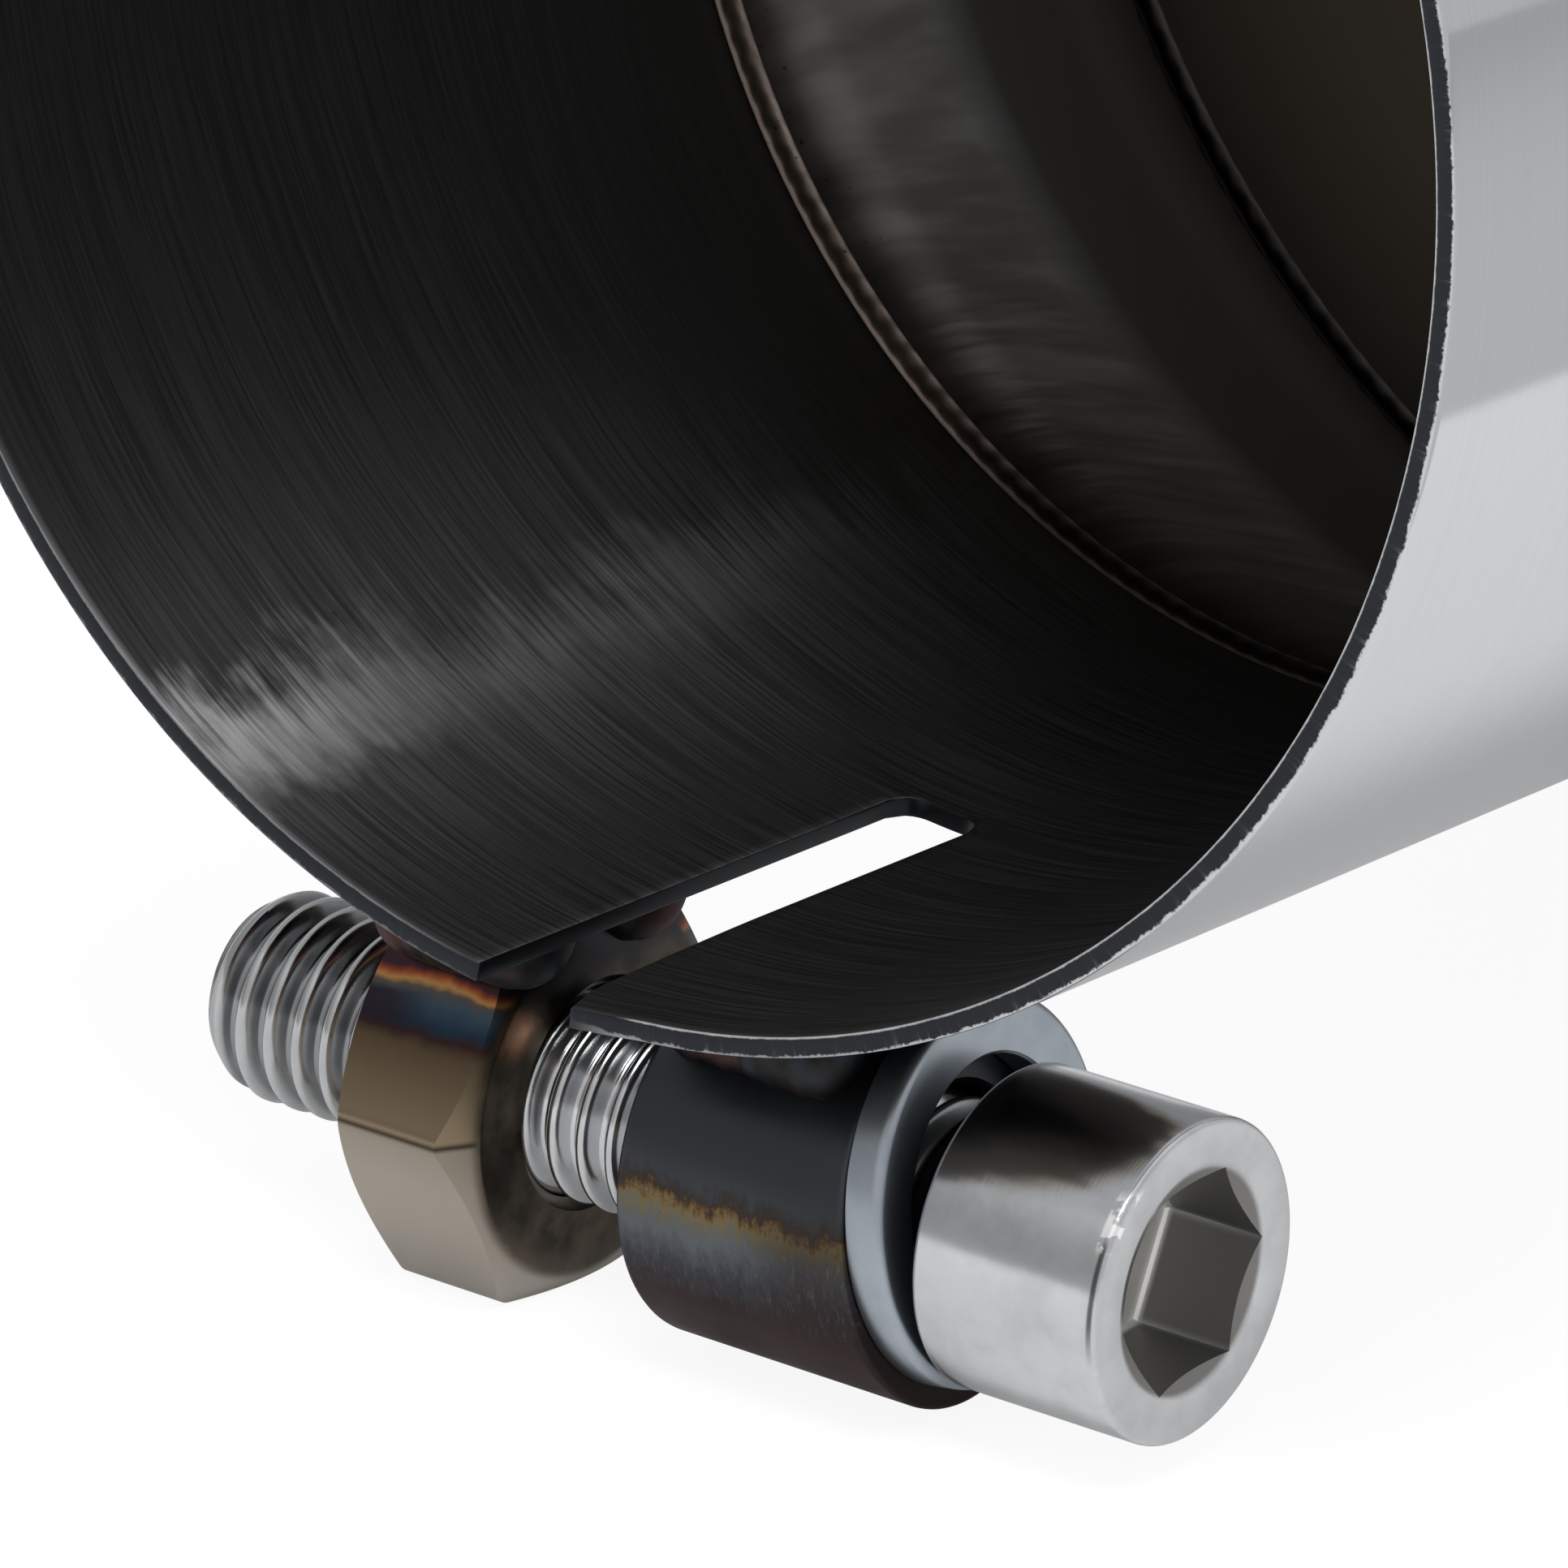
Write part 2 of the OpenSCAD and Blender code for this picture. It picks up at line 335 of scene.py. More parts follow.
def make_place_group(name: str, frame: Matrix) -> bpy.types.NodeTree:
    """Builds the group that tells where a point is about an axis.

    Args:
        name: The group's name.
        frame: Its +X is the axis; millimetres.

    Returns:
        A group with the outputs that Spot names.
    """
    group, sheet, _, out = new_group(name, {}, SPOT_OUTPUTS)
    place = sheet.add("TexCoord").outputs["Object"]
    millimetres = sheet.add("VectorMath", {0: place, "Scale": 1 / MM}, operation="SCALE").outputs[0]
    origin = tuple(frame.translation)
    offset = sheet.add("VectorMath", {0: millimetres, 1: origin}, operation="SUBTRACT").outputs[0]
    parts = []
    for axis in range(3):
        direction = tuple(frame.col[axis][:3])
        dot = sheet.add("VectorMath", {0: offset, 1: direction}, operation="DOT_PRODUCT")
        parts.append(dot.outputs["Value"])
    along, side, up = parts
    radius = sheet.math("SQRT", sheet.plus(sheet.times(side, side), sheet.times(up, up)))
    safe = sheet.math("MAXIMUM", radius, 0.001)
    spoke = sheet.add("CombineXYZ", {0: sheet.math("DIVIDE", side, safe), 1: sheet.math("DIVIDE", up, safe)})
    ring = sheet.add("CombineXYZ", {0: side, 1: up, 2: along})
    for label, socket in zip(SPOT_OUTPUTS, (along, radius, side, up, ring.outputs[0], spoke.outputs[0])):
        sheet.feed(out.inputs[label], socket)
    return group


def make_lines_group() -> bpy.types.NodeTree:
    """Builds fine parallel marks: noise pulled long across one direction.

    Returns:
        A group with the inputs Place, Long, Fine and Warp: the marks' scale
        along and across them, and how far they wander. Its output Mark lies
        between 0 and 1.
    """
    inputs = {"Place": ("Vector", 0), "Long": ("Float", 0.05), "Fine": ("Float", 6.0), "Warp": ("Float", 0.0)}
    group, sheet, source, out = new_group("fine_lines", inputs, {"Mark": "Float"})
    place, long, fine, warp = source.outputs[:4]
    parts = sheet.add("SeparateXYZ", {0: place}).outputs
    height = sheet.plus(parts[2], sheet.times(sheet.sway(place, 0.06, 2.0), warp))
    pulled = sheet.add("CombineXYZ", {
        0: sheet.times(parts[0], long), 1: sheet.times(parts[1], long), 2: sheet.times(height, fine),
    })
    sheet.feed(out.inputs["Mark"], sheet.noise(pulled.outputs[0], 1.0, 3.0, 0.6))
    return group


def make_wear_group() -> bpy.types.NodeTree:
    """Builds broken-up wear: a mask that fades with distance from an edge.

    Returns:
        A group with the inputs Place, Distance, Width and Break, and the
        output Mask between 0 and 1.
    """
    inputs = {
        "Place": ("Vector", 0), "Distance": ("Float", 1.0), "Width": ("Float", 0.3), "Break": ("Float", 0.5),
    }
    group, sheet, source, out = new_group("edge_wear", inputs, {"Mask": "Float"})
    place, distance, width, ragged = source.outputs[:4]
    cloud = sheet.noise(place, 0.9, 6.0, 0.65)
    grain = sheet.noise(place, 5.0, 3.0, 0.6)
    rough = sheet.plus(sheet.times(cloud, 0.65), sheet.times(grain, 0.35))
    rough = sheet.times(sheet.minus(rough, 0.5), sheet.times(ragged, 5.0))
    near = sheet.minus(1.0, sheet.math("DIVIDE", distance, width))
    sheet.feed(out.inputs["Mask"], sheet.span(sheet.plus(near, rough), 0.0, 0.6))
    return group


def make_grit_group() -> bpy.types.NodeTree:
    """Builds scattered specks and a soft mottling.

    Returns:
        A group with the inputs Place, Scale and Amount, and the outputs
        Speck and Mottle, both between 0 and 1.
    """
    inputs = {"Place": ("Vector", 0), "Scale": ("Float", 2.0), "Amount": ("Float", 0.3)}
    group, sheet, source, out = new_group("grit", inputs, {"Speck": "Float", "Mottle": "Float"})
    place, scale, amount = source.outputs[:3]
    cloud = sheet.noise(place, scale, 3.0, 0.7)
    limit = sheet.minus(0.80, sheet.times(amount, 0.3))
    sheet.feed(out.inputs["Speck"], sheet.span(sheet.minus(cloud, limit), 0.0, 0.06))
    sheet.feed(out.inputs["Mottle"], sheet.noise(place, 0.35, 6.0, 0.6))
    return group


def shaded(colour: Colour, share: float) -> Colour:
    """A colour made darker or lighter."""
    red, green, blue = colour
    return share * red, share * green, share * blue


@dataclass
class SharedEffects:
    """The node groups that more than one finish uses."""

    tube_place: bpy.types.NodeTree = field(init=False)
    clamp_place: bpy.types.NodeTree = field(init=False)
    lines: bpy.types.NodeTree = field(init=False)
    wear: bpy.types.NodeTree = field(init=False)
    grit: bpy.types.NodeTree = field(init=False)

    def __post_init__(self) -> None:
        """Builds every group once."""
        self.tube_place = make_place_group("place_on_tube", TUBE_FRAME)
        self.clamp_place = make_place_group("place_on_screw", AXIS.matrix())
        self.lines = make_lines_group()
        self.wear = make_wear_group()
        self.grit = make_grit_group()

    def lines_on(self, sheet: NodeSheet, place: Value, long: float, fine: float,
                 warp: float) -> bpy.types.NodeSocket:
        """Adds fine lines to a material.

        Args:
            sheet: The material's nodes.
            place: The vector that the lines follow.
            long: Scale along the lines.
            fine: Scale across them.
            warp: How far they wander.

        Returns:
            The lines, between 0 and 1.
        """
        node = sheet.place(self.lines, {"Place": place, "Long": long, "Fine": fine, "Warp": warp})
        return node.outputs["Mark"]

    def grit_on(self, sheet: NodeSheet, place: Value, scale: float, amount: float) -> tuple:
        """Adds specks and mottling to a material.

        Args:
            sheet: The material's nodes.
            place: The vector that they follow.
            scale: Scale of the specks.
            amount: How many specks there are.

        Returns:
            The specks and the mottling, between 0 and 1.
        """
        node = sheet.place(self.grit, {"Place": place, "Scale": scale, "Amount": amount})
        return node.outputs["Speck"], node.outputs["Mottle"]


class Surface:
    """One material in the making, with its Principled shader."""

    def __init__(self, name: str, metallic: float = 1.0) -> None:
        """Starts an empty metal.

        Args:
            name: The material's name.
            metallic: How metallic the surface is all over.
        """
        self.material = bpy.data.materials.new(name)
        self.material.use_nodes = True
        tree = self.material.node_tree
        tree.nodes.clear()
        self.sheet = NodeSheet(tree)
        self.shader = self.sheet.add("BsdfPrincipled", {"Metallic": metallic})
        output = self.sheet.add("OutputMaterial")
        tree.links.new(self.shader.outputs[0], output.inputs[0])

    def brush(self, amount: float) -> None:
        """Draws the gloss out along the tube, as lines turned round it do."""
        tangent = self.sheet.add("Tangent", direction_type="RADIAL", axis="Y")
        self.sheet.feed(self.shader.inputs["Tangent"], tangent.outputs[0])
        self.sheet.feed(self.shader.inputs["Anisotropic"], amount)
        self.sheet.feed(self.shader.inputs["Anisotropic Rotation"], 0.25)

    def rim_tint(self, red: float, green: float, blue: float) -> None:
        """Sets how much of the light a surface seen edge-on throws back."""
        self.shader.inputs["Specular Tint"].default_value = (red, green, blue, 1.0)

    def finish(self, colour: Value, rough: Value, height: Value | None = None,
               depth: float = 0.02) -> bpy.types.Material:
        """Connects the surface's maps.

        Args:
            colour: Base colour.
            rough: Roughness.
            height: Bump height between 0 and 1, or None for none.
            depth: How far 1 stands over 0, in millimetres.

        Returns:
            The finished material.
        """
        self.sheet.feed(self.shader.inputs["Base Color"], colour)
        self.sheet.feed(self.shader.inputs["Roughness"], rough)
        if height is not None:
            bump = self.sheet.add("Bump", {"Strength": 1.0, "Distance": depth * MM, "Height": height})
            self.sheet.feed(self.shader.inputs["Normal"], bump.outputs[0])
        return self.material


@dataclass(frozen=True)
class Finish:
    """A finish of the part, from which its material is made."""

    name: str

    def begin(self, group: bpy.types.NodeTree) -> tuple[Surface, NodeSheet, Spot]:
        """Starts the material and finds where its points lie."""
        surface = Surface(self.name)
        return surface, surface.sheet, surface.sheet.spot(group)


@dataclass(frozen=True)
class OuterSteel(Finish):
    """Bright stainless outside, with heat colours round the clamp's welds; their black also stands in as
    painted shade on the tube's underside by the clamp.
    """

    base: Colour = (0.64, 0.65, 0.67)
    cloudy: Colour = (0.54, 0.53, 0.58)
    straw: Colour = (0.34, 0.29, 0.20)
    brown: Colour = (0.060, 0.052, 0.046)
    # heat scale black, also painted shade on the tube's underside by the clamp
    black: Colour = (0.030, 0.028, 0.027)
    rough: float = 0.045
    heat_centre: tuple[float, float, float] = (-1.0, 11.8, -42.0)
    heat_reach: tuple[float, float, float] = (19.0, 11.5, 22.0)
    straw_from: Span = (1.20, 1.12)
    brown_from: Span = (1.13, 1.08)
    scale_and_shade_from: Span = (1.05, 0.60)
    dull_from: Span = (1.3, 0.9)
    line_depth: float = 0.00008

    def heat(self, sheet: NodeSheet, at: Spot, mottle: Value) -> bpy.types.NodeSocket:
        """Measures how far a point is from the welds.

        Args:
            sheet: The material's nodes.
            at: Where the point lies on the tube.
            mottle: A mottling that frays the measure.

        Returns:
            The distance, 1 where the heat colours begin.
        """
        squares = []
        for value, centre, reach in zip((at.up, at.along, at.side), self.heat_centre, self.heat_reach):
            share = sheet.math("DIVIDE", sheet.minus(value, centre), reach)
            squares.append(sheet.times(share, share))
        far = sheet.math("SQRT", sheet.plus(*squares))
        return sheet.plus(far, sheet.times(sheet.minus(mottle, 0.5), 0.3))

    def build(self, shared: SharedEffects) -> bpy.types.Material:
        """Makes the material."""
        surface, sheet, at = self.begin(shared.tube_place)
        _, mottle = shared.grit_on(sheet, at.ring, 0.5, 0.12)
        mark = sheet.span(shared.lines_on(sheet, at.ring, 0.02, 5.0, 1.0), 0.3, 0.7)
        colour = sheet.mix(mark, shaded(self.base, 0.96), self.base)
        colour = sheet.mix(sheet.times(mottle, 0.10), colour, self.cloudy)
        far = self.heat(sheet, at, mottle)
        straw = sheet.times(sheet.span(far, *self.straw_from), 0.8)
        colour = sheet.mix(straw, colour, self.straw)
        colour = sheet.mix(sheet.span(far, *self.brown_from), colour, self.brown)
        # painted shade: the heat scale's black darkens the tube's underside by the clamp
        colour = sheet.mix(sheet.span(far, *self.scale_and_shade_from), colour, self.black)
        dull = sheet.times(sheet.span(far, *self.dull_from), 0.2)
        rough = sheet.plus(sheet.times(mottle, 0.03), self.rough, dull)
        return surface.finish(colour, rough, mark, self.line_depth)


@dataclass(frozen=True)
class InletInside(Finish):
    """Inside of the inlet tube, ground round and rubbed near the rim; its dark colours are painted shade, and
    the rubbed zone is also a painted highlight.
    """

    # painted shade: the inside's colours paint the same steel dark that is bright outside
    dark: Colour = (0.033, 0.033, 0.034)
    light: Colour = (0.060, 0.060, 0.061)
    low: Colour = (0.085, 0.085, 0.088)
    # rubbed steel that also serves as a painted highlight where the overhead lamp's gloss falls
    rubbed: Colour = (0.46, 0.46, 0.46)
    rim: Colour = (0.20, 0.20, 0.205)
    warm: Colour = (0.030, 0.026, 0.021)
    speck: Colour = (0.02, 0.018, 0.018)
    brushed: float = 0.8
    shine_angle: float = -31.0
    below_from: Span = (-0.06, 0.04)
    highlight_width: Span = (0.12, 0.0)
    highlight_rim_to: Span = (17.0, 0.0)
    highlight_deep_to: Span = (50.0, 34.0)
    rim_to: Span = (0.50, 0.15)
    warm_from: Span = (30.0, 56.0)

    def off_shine(self, sheet: NodeSheet, at: Spot, fine: Value, broad: Value) -> bpy.types.NodeSocket:
        """Measures the frayed angle from the middle of the rubbed zone, which also carries the painted
        highlight.

        Args:
            sheet: The material's nodes.
            at: Where the point lies on the tube.
            fine: Fine grinding lines.
            broad: Broad grinding lines.

        Returns:
            The angle in radians, negative below the zone.
        """
        angle = sheet.math("ARCTAN2", at.up, sheet.times(at.side, -1.0))
        off = sheet.minus(angle, math.radians(self.shine_angle))
        cloud = sheet.sway(at.ring, 0.16, 4.0, 0.6)
        ragged = sheet.plus(
            sheet.times(sheet.minus(broad, 0.5), 0.16),
            sheet.times(sheet.minus(fine, 0.5), 0.10),
            sheet.times(cloud, 0.22),
        )
        return sheet.plus(off, ragged)

    def build(self, shared: SharedEffects) -> bpy.types.Material:
        """Makes the material."""
        surface, sheet, at = self.begin(shared.tube_place)
        surface.brush(self.brushed)
        fine = shared.lines_on(sheet, at.ring, 0.10, 5.0, 0.8)
        broad = shared.lines_on(sheet, at.ring, 0.22, 0.9, 2.5)
        speck, _ = shared.grit_on(sheet, at.ring, 1.1, 0.30)
        mark = sheet.span(fine, 0.25, 0.75)
        off = self.off_shine(sheet, at, fine, broad)
        below = sheet.times(sheet.span(off, *self.below_from), 0.85)
        ground = sheet.mix(mark, shaded(self.low, 0.75), shaded(self.low, 1.45))
        colour = sheet.mix(below, sheet.mix(mark, self.dark, self.light), ground)
        # painted highlight: the rubbed zone is lightened most near the rim and fades deeper in
        highlight_strength = sheet.plus(sheet.times(sheet.span(at.along, *self.highlight_rim_to), 0.82), 0.14)
        highlight_strength = sheet.times(highlight_strength, sheet.span(at.along, *self.highlight_deep_to))
        rub_and_highlight = sheet.times(sheet.span(sheet.math("ABSOLUTE", off), *self.highlight_width), highlight_strength)
        rub_and_highlight = sheet.times(rub_and_highlight, sheet.plus(sheet.times(mark, 0.3), 0.7))
        colour = sheet.mix(rub_and_highlight, colour, self.rubbed)
        colour = sheet.mix(sheet.times(sheet.span(at.along, *self.rim_to), 0.6), colour, self.rim)
        colour = sheet.mix(sheet.times(sheet.span(at.along, *self.warm_from), 0.7), colour, self.warm)
        colour = sheet.mix(sheet.times(speck, 0.5), colour, self.speck)
        rough = sheet.plus(sheet.times(mark, 0.06), 0.44)
        return surface.finish(colour, rough, mark, 0.002)


@dataclass(frozen=True)
class FlareInside(Finish):
    """Inside of flare and outlet: a streaked bright band, then dark, then brown; the near black deep inside
    is painted shade.
    """

    near: float = 55.9
    far: float = 115.9
    band_to: Span = (84.5, 73.5)
    pits_to: Span = (60.0, 57.0)
    streaks: float = 21.0
    drift: float = 0.055
    streak: Colour = (0.040, 0.038, 0.037)
    pit: Colour = (0.015, 0.013, 0.013)

    def build(self, shared: SharedEffects) -> bpy.types.Material:
        """Makes the material."""
        surface, sheet, at = self.begin(shared.tube_place)
        surface.rim_tint(0.80, 0.79, 0.77)
        speck, mottle = shared.grit_on(sheet, at.ring, 1.5, 0.5)
        along = sheet.plus(at.along, sheet.times(sheet.sway(at.ring, 0.10, 3.0), 3.0))
        depth = sheet.span(along, self.near, self.far, soft=False)
        colour = sheet.ramp(depth, TINT_STOPS[Tint.DEPTH])
        drawn = sheet.add("VectorMath", {0: at.spoke, "Scale": self.streaks}, operation="SCALE").outputs[0]
        shift = sheet.add("CombineXYZ", {2: sheet.times(at.along, self.drift)}).outputs[0]
        drawn = sheet.add("VectorMath", {0: drawn, 1: shift}, operation="ADD").outputs[0]
        streak = sheet.span(sheet.noise(drawn, 1.0, 2.5, 0.5), 0.30, 0.72)
        band = sheet.span(along, *self.band_to)
        gain = sheet.times(sheet.minus(1.0, streak), sheet.times(band, 0.75))
        colour = sheet.mix(gain, colour, self.streak)
        pits = sheet.times(speck, sheet.span(at.along, *self.pits_to))
        colour = sheet.mix(pits, colour, self.pit)
        rough = sheet.minus(0.42, sheet.times(band, 0.08))
        height = sheet.plus(sheet.times(streak, sheet.times(band, 3.0)), mottle)
        return surface.finish(colour, rough, height, 0.012)


@dataclass(frozen=True)
class CutEdge(Finish):
    """Sawn rim and slot walls: dark face, broken bright burr at its edges."""

    inner_r: float
    outer_r: float
    dark: Colour = (0.030, 0.032, 0.037)
    toothed: Colour = (0.075, 0.08, 0.085)
    scratched: Colour = (0.22, 0.225, 0.23)
    burr: Colour = (0.66, 0.67, 0.68)

    def kept(self, sheet: NodeSheet, at: Spot) -> bpy.types.NodeSocket:
        """Masks the stretches of the rim whose burr is still bright.

        Args:
            sheet: The material's nodes.
            at: Where the point lies on the tube; up is towards +X there.

        Returns:
            The mask, weaker on the left side of the rim.
        """
        right = sheet.span(at.up, -1.0, 3.0)
        left = sheet.times(sheet.span(at.up, -4.0, -12.0), 0.45)
        back = sheet.span(at.side, 0.0, 10.0)
        return sheet.math("MAXIMUM", sheet.math("MAXIMUM", right, left), back)

    def build(self, shared: SharedEffects) -> bpy.types.Material:
        """Makes the material."""
        surface, sheet, at = self.begin(shared.tube_place)
        inner = sheet.minus(at.radius, self.inner_r)
        outer = sheet.minus(self.outer_r, at.radius)
        burr_in, burr_out = (
            sheet.place(shared.wear, {"Place": at.ring, "Distance": away, "Width": width, "Break": ragged})
            for away, width, ragged in ((inner, 0.15, 0.25), (outer, 0.17, 0.9))
        )
        teeth = sheet.span(sheet.noise(at.spoke, 90.0, 5.0, 0.75), 0.52, 0.72)
        teeth = sheet.times(teeth, sheet.plus(sheet.times(sheet.span(at.up, 0.0, 12.0), 0.8), 0.2))
        scratch = sheet.times(teeth, sheet.span(outer, 0.55, 0.05))
        colour = sheet.mix(sheet.times(teeth, 0.35), self.dark, self.toothed)
        colour = sheet.mix(sheet.times(scratch, 0.6), colour, self.scratched)
        right_more = sheet.plus(sheet.times(sheet.span(at.up, 8.0, 24.0), 0.5), 0.5)
        burr = sheet.times(burr_out.outputs["Mask"], right_more)
        bright = sheet.math("MAXIMUM", burr_in.outputs["Mask"], burr)
        bright = sheet.times(bright, self.kept(sheet, at))
        bright = sheet.times(bright, sheet.minus(1.0, sheet.span(at.along, 0.3, 0.7)))
        colour = sheet.mix(sheet.times(bright, 0.9), colour, self.burr)
        return surface.finish(colour, 0.42, teeth, 0.006)


@dataclass(frozen=True)
class SeamMetal(Finish):
    """Ring weld, coloured from one side of the bead to the other."""

    tint: Tint
    middle: float
    outer_from: float
    half: float = 0.9
    low_from: Span = (-31.0, -38.0)
    pit: Colour = (0.02, 0.015, 0.015)
    low: Colour = (0.020, 0.016, 0.014)
    straw: Colour = (0.36, 0.31, 0.25)
    violet: Colour = (0.16, 0.13, 0.19)

    def build(self, shared: SharedEffects) -> bpy.types.Material:
        """Makes the material."""
        surface, sheet, at = self.begin(shared.tube_place)
        speck, mottle = shared.grit_on(sheet, at.ring, 1.8, 0.45)
        across = sheet.minus(at.along, self.middle - self.half)
        heat = sheet.math("DIVIDE", across, 2 * self.half)
        heat = sheet.plus(heat, sheet.times(sheet.minus(mottle, 0.5), 0.35))
        colour = sheet.ramp(heat, TINT_STOPS[self.tint])
        colour = sheet.mix(speck, colour, self.pit)
        shade = sheet.span(at.side, *self.low_from)
        colour = sheet.mix(sheet.times(shade, 0.9), colour, self.low)
        outside = sheet.span(at.radius, self.outer_from, self.outer_from + 0.2)
        colour = sheet.mix(outside, colour, sheet.mix(mottle, self.straw, self.violet))
        rough = sheet.plus(sheet.times(mottle, 0.2), 0.32)
        return surface.finish(colour, rough, mottle, 0.03)


@dataclass(frozen=True)
class Zinc(Finish):
    """Zinc plate, bright or dull; its socket has a painted-light floor and painted-shade walls, and its neck
    is painted shade.
    """

    base: Colour
    shade: Colour
    rough: float = 0.15
    face_from: float = 23.25
    socket_r: float = 5.0
    stain: Colour = (0.14, 0.13, 0.12)
    # painted light on the socket's floor and painted shade on its walls
    socket_floor_light: Colour = (0.95, 0.94, 0.91)
    socket_wall_shade: Colour = (0.24, 0.235, 0.225)
    # painted shade for the screw's neck under the head
    neck_shade: Colour = (0.02, 0.02, 0.021)
    # darker colour for the thread's tail beyond the nut
    tail_dark: Colour = (0.06, 0.06, 0.062)
    worn: Colour = (0.05, 0.05, 0.05)
    # painted highlight: white glints on nicks at the head's rim
    chip_glint: Colour = (1.0, 1.0, 1.0)

    def chip_glints(self, sheet: NodeSheet, at: Spot, left: Value) -> bpy.types.NodeSocket:
        """Masks the nicks on the head's rim, painted white as glints: a painted highlight where the light
        catches it.

        Args:
            sheet: The material's nodes.
            at: Where the point lies on the screw.
            left: Mask of the side that has chips.

        Returns:
            The mask.
        """
        spots = sheet.span(sheet.noise(at.ring, 0.9, 3.0, 0.6), 0.47, 0.52)
        high = sheet.times(sheet.span(at.up, 3.0, 3.5), sheet.span(at.up, 5.5, 5.0))
        corner = sheet.times(sheet.span(at.along, 22.65, 22.8), high)
        return sheet.times(spots, left, corner, sheet.span(at.radius, 6.5, 6.75))

    def worn_line(self, sheet: NodeSheet, at: Spot, left: Value) -> bpy.types.NodeSocket:
        """Masks the dark worn line just behind the head's rim.

        Args:
            sheet: The material's nodes.
            at: Where the point lies on the screw.
            left: Mask of the side that is worn.

        Returns:
            The mask.
        """
        line = sheet.times(sheet.span(at.along, 22.9, 23.05), sheet.span(at.along, 23.25, 23.15))
        level_on = sheet.times(sheet.span(at.up, 4.0, 3.2), sheet.span(at.up, -2.0, 0.5))
        return sheet.times(line, sheet.times(left, level_on))

    def build(self, shared: SharedEffects) -> bpy.types.Material:
        """Makes the material."""
        surface, sheet, at = self.begin(shared.clamp_place)
        speck, mottle = shared.grit_on(sheet, at.ring, 2.2, 0.2)
        mark = sheet.span(shared.lines_on(sheet, at.ring, 0.3, 6.0, 0.2), 0.3, 0.7)
        colour = sheet.mix(sheet.span(mottle, 0.35, 0.75), self.base, self.shade)
        colour = sheet.mix(sheet.times(speck, 0.15), colour, self.stain)
        within = sheet.span(at.radius, self.socket_r + 0.15, self.socket_r - 0.15)
        hollow = sheet.times(within, sheet.span(at.along, 17.2, 17.5))
        # painted light and shade in the socket: a floor brighter than the zinc, darker walls
        socket_light_and_shade = sheet.mix(sheet.span(at.along, 18.4, 18.8), self.socket_floor_light, self.socket_wall_shade)
        colour = sheet.mix(hollow, colour, socket_light_and_shade)
        thread = sheet.span(at.radius, 5.0, 4.9)
        # painted shade: the neck under the head lies in deep shadow and is painted near black
        neck = sheet.times(sheet.span(at.along, 10.5, 11.5), sheet.span(at.along, 14.2, 14.0))
        neck = sheet.times(neck, thread)
        colour = sheet.mix(neck, colour, self.neck_shade)
        # darker over the thread's tail beyond the nut, most in its roots
        tail = sheet.times(sheet.span(at.along, -15.0, -16.0), thread)
        groove = sheet.plus(sheet.times(sheet.span(at.radius, 4.6, 4.25), 0.40), 0.20)
        colour = sheet.mix(sheet.times(tail, groove), colour, self.tail_dark)
        left = sheet.span(at.side, -2.5, -4.5)
        colour = sheet.mix(sheet.times(self.worn_line(sheet, at, left), 0.85), colour, self.worn)
        # painted highlight: white glints on nicks along the head's rim, on its left side only
        colour = sheet.mix(self.chip_glints(sheet, at, left), colour, self.chip_glint)
        face = sheet.span(at.along, self.face_from, self.face_from + 0.08)
        rough = sheet.plus(
            sheet.times(mottle, 0.07), self.rough,
            sheet.times(face, 0.16), sheet.times(neck, 0.6), sheet.times(hollow, 0.30),
        )
        mark = sheet.times(mark, sheet.minus(1.0, hollow))
        return surface.finish(colour, rough, mark, 0.0012)


@dataclass(frozen=True)
class SleeveScale(Finish):
    """Forge-black sleeve with a thin gold line of heat and grey below it."""

    half: float = 8.6
    # darker colour for the lower part towards the washer end
    low_end_dark: Colour = (0.034, 0.025, 0.024)
    rubbed: Colour = (0.15, 0.16, 0.17)
    speck: Colour = (0.012, 0.010, 0.010)

    def height(self, sheet: NodeSheet, at: Spot, flow: Value) -> bpy.types.NodeSocket:
        """Frays the height over which the heat colours run.

        Args:
            sheet: The material's nodes.
            at: Where the point lies on the screw's axis.
            flow: A vector for marks that hang down.

        Returns:
            The frayed height.
        """
        return sheet.plus(
            at.up,
            sheet.times(sheet.sway(flow, 1.0, 5.0, 0.7), 2.2),
            sheet.times(sheet.sway(flow, 0.22, 2.0), 1.2),
            sheet.times(sheet.sway(at.ring, 2.2, 4.0, 0.7), 1.6),
        )

    def build(self, shared: SharedEffects) -> bpy.types.Material:
        """Makes the material."""
        surface, sheet, at = self.begin(shared.clamp_place)
        surface.rim_tint(0.80, 0.74, 0.73)
        speck, mottle = shared.grit_on(sheet, at.ring, 3.0, 0.4)
        flow = sheet.add("CombineXYZ", {0: sheet.times(at.along, 1.9), 1: sheet.times(at.up, 0.5)}).outputs[0]
        heat = sheet.span(self.height(sheet, at, flow), -self.half, self.half, soft=False)
        colour = sheet.ramp(heat, TINT_STOPS[Tint.SLEEVE])
        # darker over the lower part towards the washer end
        low = sheet.times(sheet.span(at.along, 4.5, 9.5), sheet.span(at.up, 3.0, -1.0))
        colour = sheet.mix(sheet.times(low, 0.75), colour, self.low_end_dark)
        bare = sheet.times(
            sheet.span(sheet.noise(flow, 2.6, 4.0, 0.7), 0.52, 0.70),
            sheet.span(at.up, 1.2, -0.6), sheet.span(at.up, -5.0, -2.5),
        )
        colour = sheet.mix(sheet.times(bare, 0.30), colour, self.rubbed)
        colour = sheet.mix(sheet.times(speck, 0.5), colour, self.speck)
        rough = sheet.plus(sheet.times(mottle, 0.25), 0.26)
        return surface.finish(colour, rough, sheet.plus(bare, mottle), 0.010)


